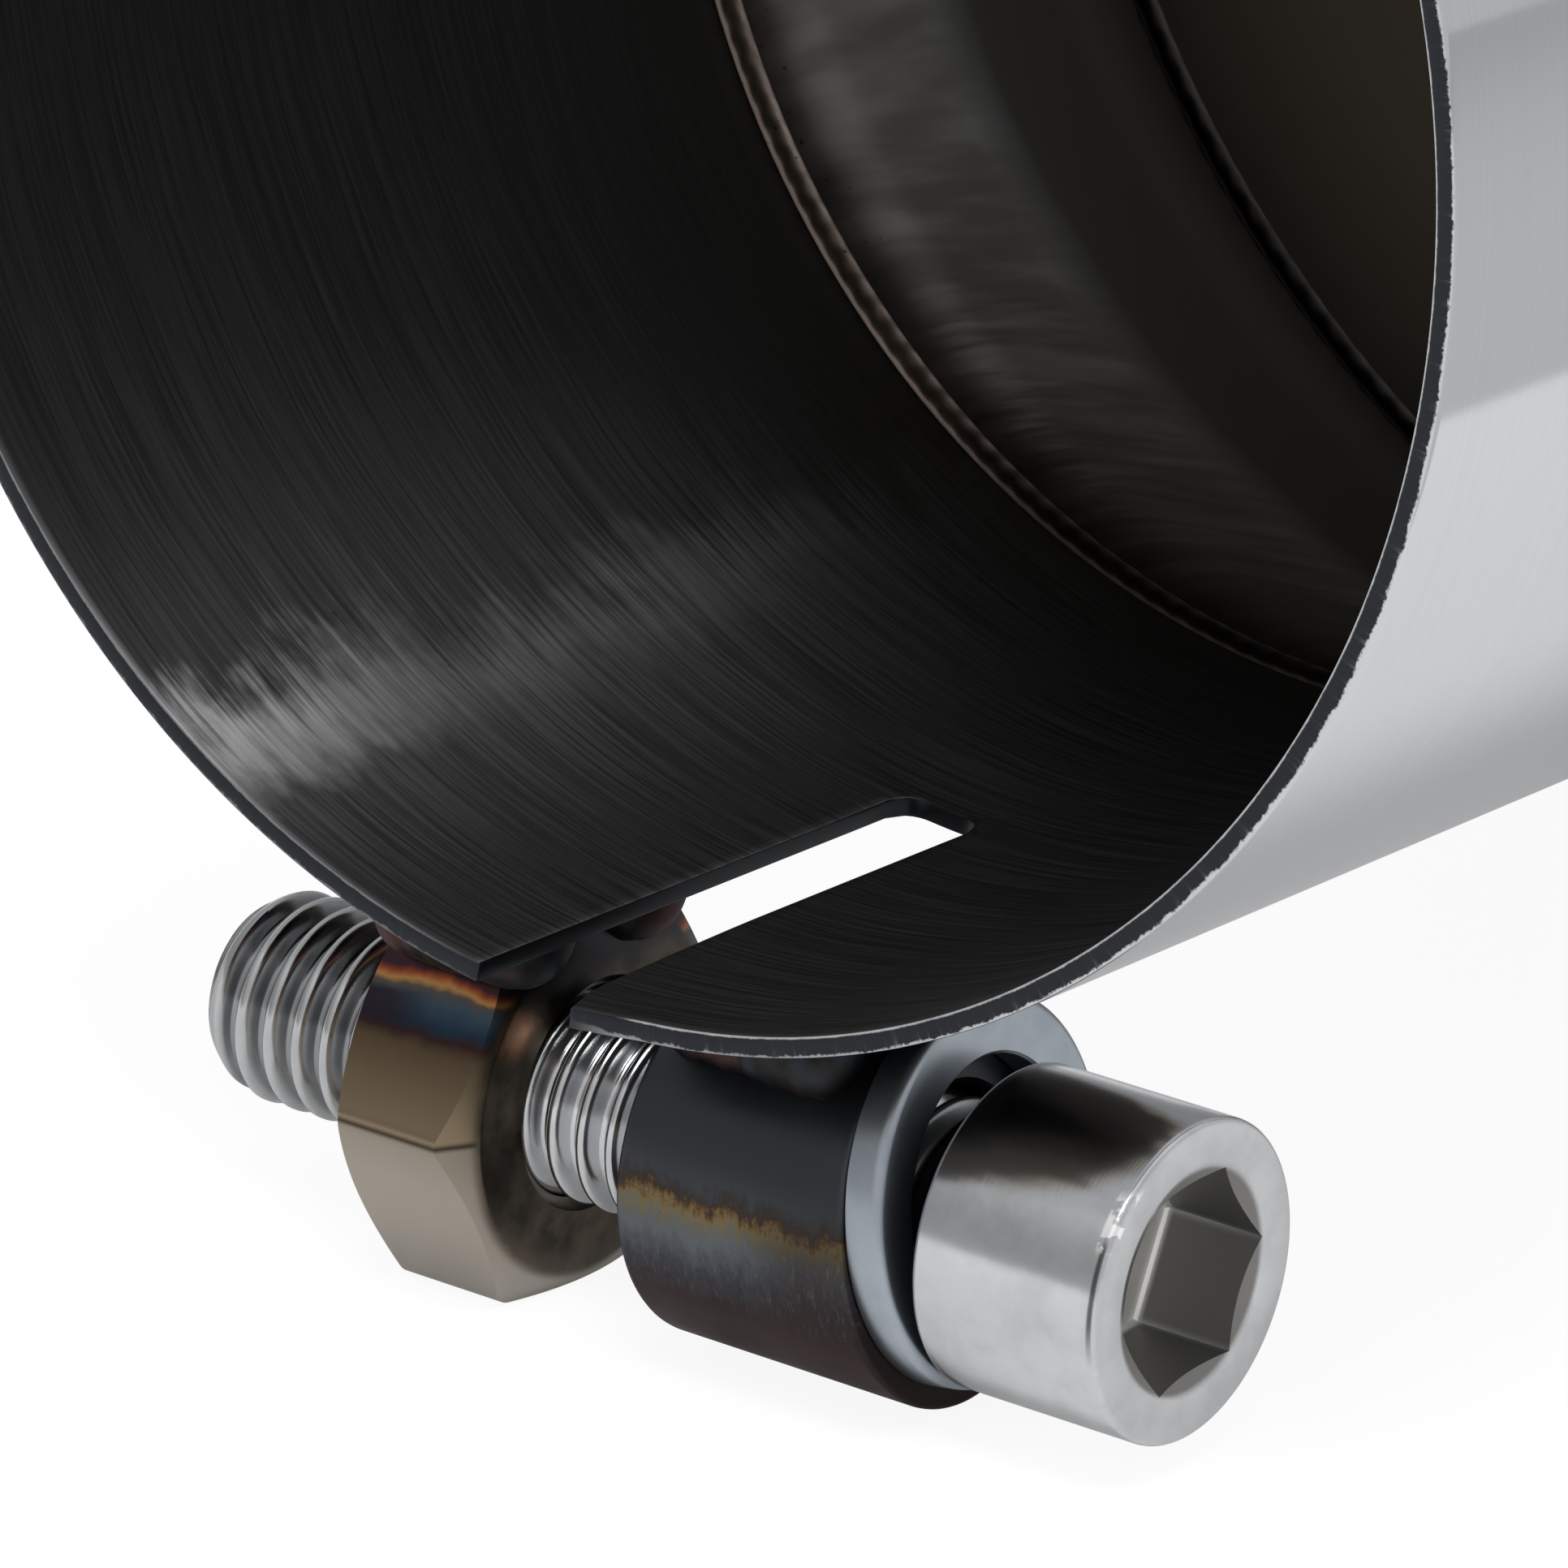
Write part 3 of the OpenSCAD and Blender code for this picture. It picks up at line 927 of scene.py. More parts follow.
@dataclass(frozen=True)
class NutBronze(Finish):
    """Heat-bronzed nut whose colours run up to the weld."""

    near_x: float = -8.4
    half: float = 9.0
    brown: Colour = (0.052, 0.043, 0.035)
    # painted highlight along the face's chamfer line
    light_brown: Colour = (0.150, 0.122, 0.090)
    tan: Colour = (0.16, 0.13, 0.10)
    violet: Colour = (0.030, 0.020, 0.027)
    slate: Colour = (0.032, 0.030, 0.034)
    copper: Colour = (0.26, 0.14, 0.085)
    copper_side: float = -5.6
    copper_up: float = 4.5
    speck: Colour = (0.03, 0.02, 0.02)

    def end_face(self, sheet: NodeSheet, at: Spot, mottle: Value, cloud: Value) -> bpy.types.NodeSocket:
        """Colours the face towards the sleeve: brown, with a painted tan highlight over its lower outer part
        and one copper spot.

        Args:
            sheet: The material's nodes.
            at: Where the point lies on the screw's axis.
            mottle: A fine mottling.
            cloud: Noise that frays the spot.

        Returns:
            The colour.
        """
        colour = sheet.mix(sheet.span(mottle, 0.35, 0.65), self.brown, self.light_brown)
        # painted highlight: tan over the lower outer part of the face, along its chamfer
        tan = sheet.times(sheet.span(at.radius, 6.4, 7.8), sheet.span(at.up, 4.0, -2.0))
        colour = sheet.mix(sheet.times(tan, 0.45), colour, self.tan)
        side, rise = sheet.minus(at.side, self.copper_side), sheet.minus(at.up, self.copper_up)
        near = sheet.math("SQRT", sheet.plus(sheet.times(side, side), sheet.times(rise, rise)))
        near = sheet.plus(near, sheet.times(cloud, 3.0))
        colour = sheet.mix(sheet.span(at.up, 4.5, 6.5), colour, self.slate)
        return sheet.mix(sheet.span(near, 1.6, 0.5), colour, self.copper)

    def build(self, shared: SharedEffects) -> bpy.types.Material:
        """Makes the material."""
        surface, sheet, at = self.begin(shared.clamp_place)
        speck, mottle = shared.grit_on(sheet, at.ring, 2.6, 0.15)
        cloud = sheet.sway(at.ring, 0.30, 3.0, 0.6)
        loose = sheet.plus(cloud, sheet.times(sheet.sway(at.ring, 1.6, 3.0, 0.6), 0.15))
        up = sheet.plus(at.up, sheet.times(loose, sheet.span(at.up, 1.0, 4.0)))
        flats = sheet.ramp(sheet.span(up, -self.half, self.half, soft=False), TINT_STOPS[Tint.NUT])
        violet = sheet.times(
            sheet.span(at.along, -11.5, -14.5), sheet.span(up, 3.9, 4.3), sheet.span(up, 5.6, 5.2),
        )
        flats = sheet.mix(sheet.times(violet, 0.85), flats, self.violet)
        face = sheet.span(at.along, self.near_x - 0.30, self.near_x - 0.02)
        colour = sheet.mix(face, flats, self.end_face(sheet, at, mottle, cloud))
        colour = sheet.mix(sheet.times(speck, 0.4), colour, self.speck)
        rough = sheet.plus(sheet.times(mottle, 0.12), 0.26)
        return surface.finish(colour, rough, mottle, 0.004)


@dataclass(frozen=True)
class WeldMetal(Finish):
    """Dark weld bead with faint blue and red films."""

    dark: Colour = (0.020, 0.019, 0.021)
    light: Colour = (0.045, 0.042, 0.042)
    blue: Colour = (0.040, 0.060, 0.085)
    red: Colour = (0.10, 0.045, 0.038)

    def build(self, shared: SharedEffects) -> bpy.types.Material:
        """Makes the material."""
        surface, sheet, at = self.begin(shared.clamp_place)
        surface.rim_tint(0.8, 0.8, 0.8)
        _, mottle = shared.grit_on(sheet, at.ring, 2.4, 0.3)
        colour = sheet.mix(sheet.span(mottle, 0.3, 0.7), self.dark, self.light)
        for tint, scale, reach in ((self.blue, 0.28, (0.50, 0.66)), (self.red, 0.24, (0.50, 0.38))):
            film = sheet.span(sheet.noise(at.ring, scale, 2.0), *reach)
            colour = sheet.mix(sheet.times(film, 0.6), colour, tint)
        rough = sheet.plus(sheet.times(mottle, 0.2), 0.42)
        return surface.finish(colour, rough, mottle, 0.03)


def publish(mesh: bpy.types.Mesh, name: str, materials: Sequence[bpy.types.Material], slot: str,
            *nodes: str) -> bpy.types.Object:
    """Turns a finished mesh into a piece of the part.

    Args:
        mesh: The mesh, in metres in the shared frame.
        name: The piece's name.
        materials: Its materials, in slot order.
        slot: The record's material slot; not used.
        nodes: The CAD nodes that it stands for.

    Returns:
        The new object.
    """
    for material in materials:
        mesh.materials.append(material)
    piece = bpy.data.objects.new(name, mesh)
    bpy.context.scene.collection.objects.link(piece)
    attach(piece, "root")
    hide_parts(*nodes)
    LOG.info("%s: %d faces", name, len(mesh.polygons))
    return piece


def smooth(mesh: bpy.types.Mesh, angle: float) -> None:
    """Shades a mesh smooth and keeps its hard corners."""
    mesh.polygons.foreach_set("use_smooth", [True] * len(mesh.polygons))
    mesh.set_sharp_from_angle(angle=math.radians(angle))


def to_mesh(made: bmesh.types.BMesh, name: str) -> bpy.types.Mesh:
    """Turns an edited mesh into a finished one."""
    mesh = bpy.data.meshes.new(name)
    made.to_mesh(mesh)
    made.free()
    return mesh


def hold(mesh: bpy.types.Mesh) -> bpy.types.Object:
    """Puts a mesh on an object for a while, so that modifiers can work on it."""
    holder = bpy.data.objects.new("holder", mesh)
    bpy.context.scene.collection.objects.link(holder)
    return holder


def applied(holder: bpy.types.Object) -> bpy.types.Mesh:
    """Takes the mesh with its modifiers applied, and drops the object."""
    graph = bpy.context.evaluated_depsgraph_get()
    done = bpy.data.meshes.new_from_object(holder.evaluated_get(graph))
    bpy.data.objects.remove(holder)
    return done


def turned_mesh(name: str, rings: Sequence[Ring], angles: Sequence[float], frame: Matrix, closed: bool,
                inner_from: int | None = None, hard_from: float = HARD_FROM) -> bpy.types.Mesh:
    """Builds a skin round an axis from rings whose radius may vary.

    Args:
        name: The mesh's name.
        rings: For each ring, the radius and the place along at an angle.
        angles: The angles round the axis, in radians.
        frame: Its +X is the axis; millimetres.
        closed: Joins the last ring to the first; otherwise both are capped.
        inner_from: The ring from which on the second material is used, if any.
        hard_from: The angle in degrees from which an edge stays hard.

    Returns:
        The closed mesh.
    """
    made = bmesh.new()
    rows = []
    for ring in rings:
        row = []
        for angle in angles:
            radius, along = ring(angle)
            point = Vector((along, radius * math.cos(angle), radius * math.sin(angle)))
            row.append(made.verts.new((frame @ point) * MM))
        rows.append(row)
    count = len(angles)
    pairs = list(zip(rows, rows[1:] + rows[:1])) if closed else list(zip(rows, rows[1:]))
    for place, (low, high) in enumerate(pairs):
        for index in range(count):
            after = (index + 1) % count
            quad = made.faces.new((low[index], low[after], high[after], high[index]))
            quad.material_index = int(inner_from is not None and place >= inner_from)
    if not closed:
        for row in (rows[0], rows[-1]):
            centre = sum((v.co for v in row), Vector()) / count
            hub = made.verts.new(centre)
            for index in range(count):
                made.faces.new((row[index], row[(index + 1) % count], hub))
    bmesh.ops.remove_doubles(made, verts=made.verts, dist=MERGE)
    bmesh.ops.recalc_face_normals(made, faces=made.faces)
    mesh = to_mesh(made, name)
    smooth(mesh, hard_from)
    return mesh


def steps(count: int, start: float = 0.0) -> list[float]:
    """Even angles round a full turn."""
    return [start + TURN * index / count for index in range(count)]


def quarter(count: int) -> list[float]:
    """Even angles from 0 to a quarter turn, both ends among them."""
    return [index / count * math.pi / 2 for index in range(count + 1)]


def level(radius: float, along: float) -> Ring:
    """A plain round ring."""
    return lambda angle: (radius, along)


def edge_out(radius: float, edge: float, place: float, count: int) -> list[Ring]:
    """Rounded edge from an end face out to the side.

    Args:
        radius: Radius of the side.
        edge: Radius of the rounding.
        place: Where the end face lies along the axis.
        count: Steps of the rounding.

    Returns:
        The rings.
    """
    return [
        level(radius - edge + edge * math.sin(turn), place + edge - edge * math.cos(turn))
        for turn in quarter(count)
    ]


def edge_in(radius: float, edge: float, place: float, count: int) -> list[Ring]:
    """Rounded edge from the side in to the other end face.

    Args:
        radius: Radius of the side.
        edge: Radius of the rounding.
        place: Where the end face lies along the axis.
        count: Steps of the rounding.

    Returns:
        The rings.
    """
    return [
        level(radius - edge + edge * math.cos(turn), place - edge + edge * math.sin(turn))
        for turn in quarter(count)
    ]


def wobble(angle: float, along: float, size: float) -> float:
    """Smooth noise between -1 and 1 round an axis."""
    return noise.noise(Vector((math.cos(angle) * size, math.sin(angle) * size, along)))


@dataclass
class InletTube:
    """Slotted inlet tube with its clamping flaps."""

    inner_r: float = 41.35
    outer_r: float = 42.3
    length: float = 54.1
    slot_x: float = -3.5
    slot_w: float = 4.5
    slot_len: float = 29.2
    corner_r: float = 1.3
    columns: int = 440
    slot_columns: int = 16
    rim_break: float = 0.1
    fold: float = 4.4
    fold_len: float = 13.0
    fold_out: float = 0.34
    nip: float = 0.6
    nip_len: float = 2.2
    nip_width: float = 1.6

    def edge_angle(self, side: int) -> float:
        """Angle from the bottom to one edge of the slot."""
        return math.asin((self.slot_x + side * self.slot_w / 2) / self.outer_r)

    def rows(self) -> list[float]:
        """Places of the rows along the tube, closer together at the rim."""
        rim = [0, 0.3, 0.7, 1.2, 2, 3, 4, 5, 6, 7, 8, 9, 10, 11, 12, 13, 14, 16, 18, 20, 22, 24, 26]
        inner = [self.slot_len - self.corner_r, self.slot_len - 0.6, self.slot_len, self.slot_len + 0.8]
        rest = [self.slot_len + 2 + index * 1.75 for index in range(13)]
        return rim + inner + [y for y in rest if y < self.length - 0.5] + [self.length]

    def bend(self, angle: float, y: float) -> tuple[float, float]:
        """How far the flaps' corners are bent from the round.

        Args:
            angle: Angle from the bottom, in radians.
            y: Distance from the rim.

        Returns:
            The outward shift, and the shift along the round.
        """
        right = (angle - self.edge_angle(1)) * self.outer_r
        if not 0 <= right < self.fold:
            return 0.0, 0.0
        out = self.fold_out * (1 - right / self.fold) * max(0.0, 1 - y / self.fold_len) ** 1.4
        nip = max(0.0, 1 - y / self.nip_len) * max(0.0, 1 - right / self.nip_width)
        return out, self.nip * nip

    def point(self, angle: float, y: float, radius: float) -> Vector:
        """A point of one skin, in metres."""
        out, along = self.bend(angle, y)
        turned = angle + along / radius
        reach = radius + out
        return Vector((reach * math.sin(turned), y, -reach * math.cos(turned))) * MM

    def build(self, materials: Sequence[bpy.types.Material]) -> bpy.types.Object:
        """Makes the tube, skin by skin, and joins the skins at every cut.

        Args:
            materials: The outer, inner and cut-edge materials.

        Returns:
            The piece.
        """
        made = bmesh.new()
        rows = self.rows()
        start, right = self.edge_angle(-1), self.edge_angle(1)
        left = start + TURN
        main = [right + (left - right) * index / self.columns for index in range(self.columns + 1)]
        across = right - left + TURN
        patch = [start + across * index / self.slot_columns for index in range(1, self.slot_columns)]
        first = rows.index(self.slot_len - self.corner_r)
        last = first + 4
        skins = []
        for radius in (self.outer_r, self.inner_r):
            grid = [[made.verts.new(self.point(a, y, radius)) for a in main] for y in rows]
            mouth = []
            for angle in patch:
                end = self.slot_end(angle)
                column = []
                for index in range(first, len(rows)):
                    y = rows[index]
                    if index < last:
                        share = (y - rows[first]) / (rows[last] - rows[first])
                        y = end + (rows[last] - end) * share
                    column.append(made.verts.new(self.point(angle, y, radius)))
                mouth.append(column)
            skins.append((grid, mouth))
        for side, (grid, mouth) in zip((Side.OUTER, Side.INNER), skins):
            for low, high in zip(grid, grid[1:]):
                for corners in zip(low, low[1:], high[1:], high):
                    made.faces.new(corners).material_index = side.value
            whole = [[row[-1] for row in grid[first:]]] + mouth + [[row[0] for row in grid[first:]]]
            for one, two in zip(whole, whole[1:]):
                for corners in zip(one, two, two[1:], one[1:]):
                    made.faces.new(corners).material_index = side.value
        made.edges.ensure_lookup_table()
        half = len(made.verts) // 2
        made.verts.ensure_lookup_table()
        made.verts.index_update()
        for edge in [e for e in made.edges if e.is_boundary and e.verts[0].index < half]:
            a, b = (v.index for v in edge.verts)
            quad = (made.verts[a], made.verts[b], made.verts[b + half], made.verts[a + half])
            made.faces.new(quad).material_index = Side.CUT.value
        bmesh.ops.recalc_face_normals(made, faces=made.faces)
        mesh = self.soften(to_mesh(made, "inlet_tube_fine"))
        smooth(mesh, HARD_FROM)
        return publish(mesh, "inlet_tube_fine", materials, "inlet_steel", "inlet_tube")

    def slot_end(self, angle: float) -> float:
        """Where the slot ends at an angle, with its rounded corners."""
        off = abs(self.outer_r * math.sin(angle) - self.slot_x)
        flat = self.slot_w / 2 - self.corner_r
        if off <= flat:
            return self.slot_len
        drop = self.corner_r - math.sqrt(max(0.0, self.corner_r ** 2 - (off - flat) ** 2))
        return self.slot_len - drop

    def soften(self, mesh: bpy.types.Mesh) -> bpy.types.Mesh:
        """Breaks the sharp edges of the cuts a little."""
        holder = hold(mesh)
        bevel = holder.modifiers.new("edge_break", "BEVEL")
        bevel.width = self.rim_break * MM
        bevel.segments = 2
        bevel.limit_method = "ANGLE"
        bevel.angle_limit = math.radians(50)
        return applied(holder)


@dataclass
class RingWeld:
    """Weld bead round the tube, rippled as it was laid."""

    name: str
    node: str
    middle: float
    inner_r: float
    wall: float = 0.95
    half: float = 0.9
    rise_in: float = 0.35
    rise_out: float = 0.45
    ripples: int = 190
    across: int = 9
    around: int = 1900
    hard_from: float = 70.0

    def rings(self) -> list[Ring]:
        """The bead's section, inside first and then back outside."""
        shares = [index / (self.across - 1) * 2 - 1 for index in range(self.across)]

        def skin(share: float, outside: bool) -> Ring:
            """One line of the bead's skin."""
            def ring(angle: float) -> tuple[float, float]:
                """The line's place at an angle."""
                crown = (1 - share * share) ** 0.7 if abs(share) < 1 else 0.0
                phase = angle * self.ripples + 2.2 * share * share
                ripple = 0.86 + 0.10 * math.sin(phase) + 0.10 * wobble(angle, share, 30.0)
                rise = min(1.0, ripple) * crown
                place = self.middle + share * self.half
                if outside:
                    return self.inner_r + self.wall + self.rise_out * rise, place
                return self.inner_r - self.rise_in * rise, place
            return ring

        return [skin(s, False) for s in shares] + [skin(s, True) for s in reversed(shares)]

    def build(self, material: bpy.types.Material) -> bpy.types.Object:
        """Makes the bead."""
        around = steps(self.around)
        mesh = turned_mesh(self.name, self.rings(), around, TUBE_FRAME, True, hard_from=self.hard_from)
        return publish(mesh, self.name, [material], "ring_weld_metal", self.node)


@dataclass
class FlareShell:
    """Flare between inlet and outlet, straight between two soft knuckles."""

    start: float = 55.9
    end: float = 101.1
    small_r: float = 42.3
    big_r: float = 57.15
    wall: float = 0.95
    knuckle: float = 0.16
    count: int = 40

    def rise(self, share: float) -> float:
        """The flare's rise from 0 to 1 at a share of its length."""
        soft = self.knuckle
        if share < soft:
            return share * share / (2 * soft * (1 - soft))
        if share > 1 - soft:
            return 1 - (1 - share) ** 2 / (2 * soft * (1 - soft))
        return (share - soft / 2) / (1 - soft)

    def build(self, materials: Sequence[bpy.types.Material]) -> bpy.types.Object:
        """Makes the flare with its bright outside and dark inside."""
        shares = [index / self.count for index in range(self.count + 1)]
        skins = []
        for back in (0.0, self.wall):
            skins.append([
                level(self.small_r - back + (self.big_r - self.small_r) * self.rise(share),
                      self.start + (self.end - self.start) * share)
                for share in shares
            ])
        rings = skins[0] + skins[1][::-1]
        mesh = turned_mesh("flare_fine", rings, steps(288), TUBE_FRAME, True, inner_from=self.count)
        return publish(mesh, "flare_fine", materials, "flare_steel", "transition_cone")


@dataclass
class OutletShell:
    """Straight outlet with its rolled lip."""

    start: float = 102.9
    end: float = 229.94
    outer_r: float = 57.15
    wall: float = 0.95
    lip_r: float = 3.6
    hem: float = 2.0

    def build(self, materials: Sequence[bpy.types.Material]) -> bpy.types.Object:
        """Makes the outlet with its bright outside and brown inside."""
        middle_r, middle_y = self.outer_r - self.lip_r, self.end - self.lip_r
        straight = [self.start + (middle_y - self.start) * index / 12 for index in range(12)]
        bends = [math.pi * index / 24 for index in range(25)]

        def curl(radius: float, turn: float) -> Ring:
            """A ring on the rolled lip."""
            return level(middle_r + radius * math.cos(turn), middle_y + radius * math.sin(turn))

        outer = [level(self.outer_r, y) for y in straight] + [curl(self.lip_r, turn) for turn in bends]
        hem_r = middle_r - self.lip_r
        outer += [level(hem_r, middle_y - self.hem), level(hem_r + self.wall, middle_y - self.hem)]
        inner = [curl(self.lip_r - self.wall, turn) for turn in reversed(bends)]
        inner += [level(self.outer_r - self.wall, y) for y in reversed(straight)]
        mesh = turned_mesh("outlet_fine", outer + inner, steps(288), TUBE_FRAME, True, inner_from=len(outer))
        return publish(mesh, "outlet_fine", materials, "outlet_steel", "outlet_shell")


@dataclass
class ClampScrew:
    """Socket head cap screw with a rolled thread."""

    thread_r: float = 4.765
    root_r: float = 3.95
    pitch: float = 1.5875
    crest: float = 0.17
    root: float = 0.14
    head_x: float = 13.85
    head_r: float = 7.15
    head_h: float = 9.5
    under_r: float = 4.0
    head_break: float = 0.30
    foot_break: float = 0.3
    socket_af: float = 8.7
    mouth_r: float = 5.15
    socket_depth: float = 5.0
    socket_turn: float = 6.5
    length: float = 41.0
    tip_len: float = 1.8
    tip_r: float = 3.9
    per_pitch: int = 14
    around: int = 96
    head_around: int = 216
    hard_from: float = 60.0

    def thread_radius(self, phase: float) -> float:
        """Radius of the thread's flank, round at crest and root.

        Args:
            phase: Place within one pitch, from 0 to 1; the crest is at 0.

        Returns:
            The radius there.
        """
        share = abs(phase - round(phase)) * 2
        slope = min(1.0, max(0.0, (share - self.crest) / (1 - self.crest - self.root)))
        ease = slope * slope * (3 - 2 * slope) * 0.45 + slope * 0.55
        return self.thread_r - (self.thread_r - self.root_r) * ease

    def shank_rings(self) -> list[Ring]:
        """Rings that follow the thread's helix from the tip to the head."""
        tip = self.head_x - self.length
        count = int(self.length / self.pitch * self.per_pitch) + 2 * self.per_pitch

        def ring_at(index: int) -> Ring:
            """One turned line of the thread."""
            def ring(angle: float) -> tuple[float, float]:
                """The line's place at an angle."""
                travel = index / self.per_pitch - angle / TURN - 1
                along = min(max(tip + travel * self.pitch, tip), self.head_x + 0.05)
                radius = self.thread_radius((along - tip) / self.pitch + angle / TURN)
                share = min(1.0, max(0.0, (along - tip) / self.tip_len))
                limit = self.tip_r + (self.thread_r - self.tip_r) * math.sin(share * math.pi / 2)
                return min(radius, limit), along
            return ring

        return [ring_at(index) for index in range(count)]

    def head_angles(self) -> list[float]:
        """Angles round the head, with the socket's corners among them."""
        return steps(self.head_around, math.radians(self.socket_turn))

    def socket_radius(self, angle: float) -> float:
        """Distance from the axis to the socket's wall."""
        turned = (angle - math.radians(self.socket_turn)) % (TURN / 6) - TURN / 12
        return self.socket_af / 2 / math.cos(turned)

    def head_rings(self) -> list[Ring]:
        """Rings from the underside over the face and down into the socket."""
        face, foot = self.head_x + self.head_h, self.head_x
        edge, heel = self.head_break, self.foot_break
        mouth = self.mouth_r

        def lip(angle: float) -> tuple[float, float]:
            """The socket's edge, where its flats cut the cone of its mouth."""
            radius = min(self.socket_radius(angle), mouth)
            return radius, face - (mouth - radius) * 0.5

        def wall(inset: float, depth: float) -> Ring:
            """A ring on the socket's walls."""
            return lambda angle: (self.socket_radius(angle) - inset, face - depth)

        rings: list[Ring] = [level(self.under_r, foot)]
        rings += edge_out(self.head_r, heel, foot, 4)
        for share in range(1, 4):
            rings.append(level(self.head_r, foot + heel + (self.head_h - heel - edge) * share / 4))
        rings += edge_in(self.head_r, edge, face, 5)
        rings.append(level((self.head_r + mouth) / 2, face))
        rings += [level(mouth + 0.12, face), level(mouth, face - 0.04)]
        rings += [lip, wall(0.0, 1.2), wall(0.0, self.socket_depth - 0.15), wall(0.15, self.socket_depth)]
        rings.append(level(1.2, face - self.socket_depth - 0.35))
        return rings

    def build(self, material: bpy.types.Material) -> bpy.types.Object:
        """Makes head and thread as one piece."""
        frame = AXIS.matrix()
        head = turned_mesh("screw_head", self.head_rings(), self.head_angles(), frame, False)
        around, rings = steps(self.around), self.shank_rings()
        shank = turned_mesh("screw_thread", rings, around, frame, False, hard_from=self.hard_from)
        made = bmesh.new()
        made.from_mesh(head)
        made.from_mesh(shank)
        mesh = to_mesh(made, "clamp_screw_fine")
        return publish(mesh, "clamp_screw_fine", [material], "screw_zinc", "clamp_screw")


@dataclass
class Wedge:
    """The leaning plane between the sleeve's end and the washer."""

    lean: float = 8.0
    turn: float = 2.5
    washer_t: float = 1.75
    head_x: float = 13.85
    head_r: float = 7.15
    gap: float = 0.03

    def place(self) -> float:
        """Where the plane meets the screw's axis."""
        total = math.acos(math.cos(math.radians(self.lean)) * math.cos(math.radians(self.turn)))
        return self.head_x - self.washer_t / math.cos(total) - self.head_r * math.tan(total) - self.gap

    def matrix(self) -> Matrix:
        """Frame on the plane, with +X out of the sleeve's end."""
        lean = Matrix.Rotation(math.radians(-self.lean), 4, "Y")
        turn = Matrix.Rotation(math.radians(self.turn), 4, "Z")
        return AXIS.matrix() @ Matrix.Translation((self.place(), 0, 0)) @ turn @ lean


@dataclass
class FlatWasher:
    """Punched flat washer, one face rounder than the other."""

    outer_r: float = 8.5
    hole_r: float = 5.9
    thickness: float = 1.75
    round_r: float = 0.45
    sharp_r: float = 0.12
    shift: tuple[float, float] = (0.25, 0.83)

    def build(self, material: bpy.types.Material, wedge: Wedge) -> bpy.types.Object:
        """Makes the washer on the sleeve's leaning end."""
        big, small = self.round_r, self.sharp_r
        middle_r = (self.hole_r + self.outer_r) / 2
        rings: list[Ring] = [level(self.hole_r + small, 0.0), level(middle_r, 0.0)]
        rings += edge_out(self.outer_r, small, 0.0, 5) + edge_in(self.outer_r, big, self.thickness, 7)
        rings += [level(middle_r, self.thickness), level(self.hole_r + small, self.thickness)]
        rings += [level(self.hole_r, self.thickness - small), level(self.hole_r, small)]
        frame = wedge.matrix() @ Matrix.Translation((0, *self.shift))
        mesh = turned_mesh("flat_washer_fine", rings, steps(192), frame, True)
        return publish(mesh, "flat_washer_fine", [material], "washer_zinc", "flat_washer")


@dataclass
class ClampSleeve:
    """Spacer sleeve, square at the slot and sawn at an angle at the washer."""

    radius: float = 8.6
    hole_r: float = 5.2
    near_x: float = -0.8
    edge: float = 0.45
    sawn_edge: float = 0.3

    def build(self, material: bpy.types.Material, wedge: Wedge) -> bpy.types.Object:
        """Makes the sleeve."""
        plane = wedge.matrix()
        local = AXIS.matrix().inverted() @ plane
        normal, origin = local.col[0].to_3d(), local.translation

        def sawn(radius: float, back: float) -> Ring:
            """A ring on the leaning end."""
            def ring(angle: float) -> tuple[float, float]:
                """The ring's place at an angle."""
                across = radius * (math.cos(angle) * normal.y + math.sin(angle) * normal.z)
                return radius, origin.x - across / normal.x - back
            return ring

        edge, small = self.edge, self.sawn_edge
        rings: list[Ring] = [level(self.hole_r + small, self.near_x)]
        rings += edge_out(self.radius, edge, self.near_x, 5)
        rings += [level(self.radius, 3.0), level(self.radius, 6.0)]
        for turn in quarter(5):
            rings.append(sawn(self.radius - small + small * math.cos(turn), small - small * math.sin(turn)))
        rings += [sawn(self.hole_r + small, 0.0), sawn(self.hole_r, small)]
        rings.append(level(self.hole_r, self.near_x + small))
        mesh = turned_mesh("clamp_sleeve_fine", rings, steps(192), AXIS.matrix(), True)
        return publish(mesh, "clamp_sleeve_fine", [material], "sleeve_steel", "clamp_sleeve")


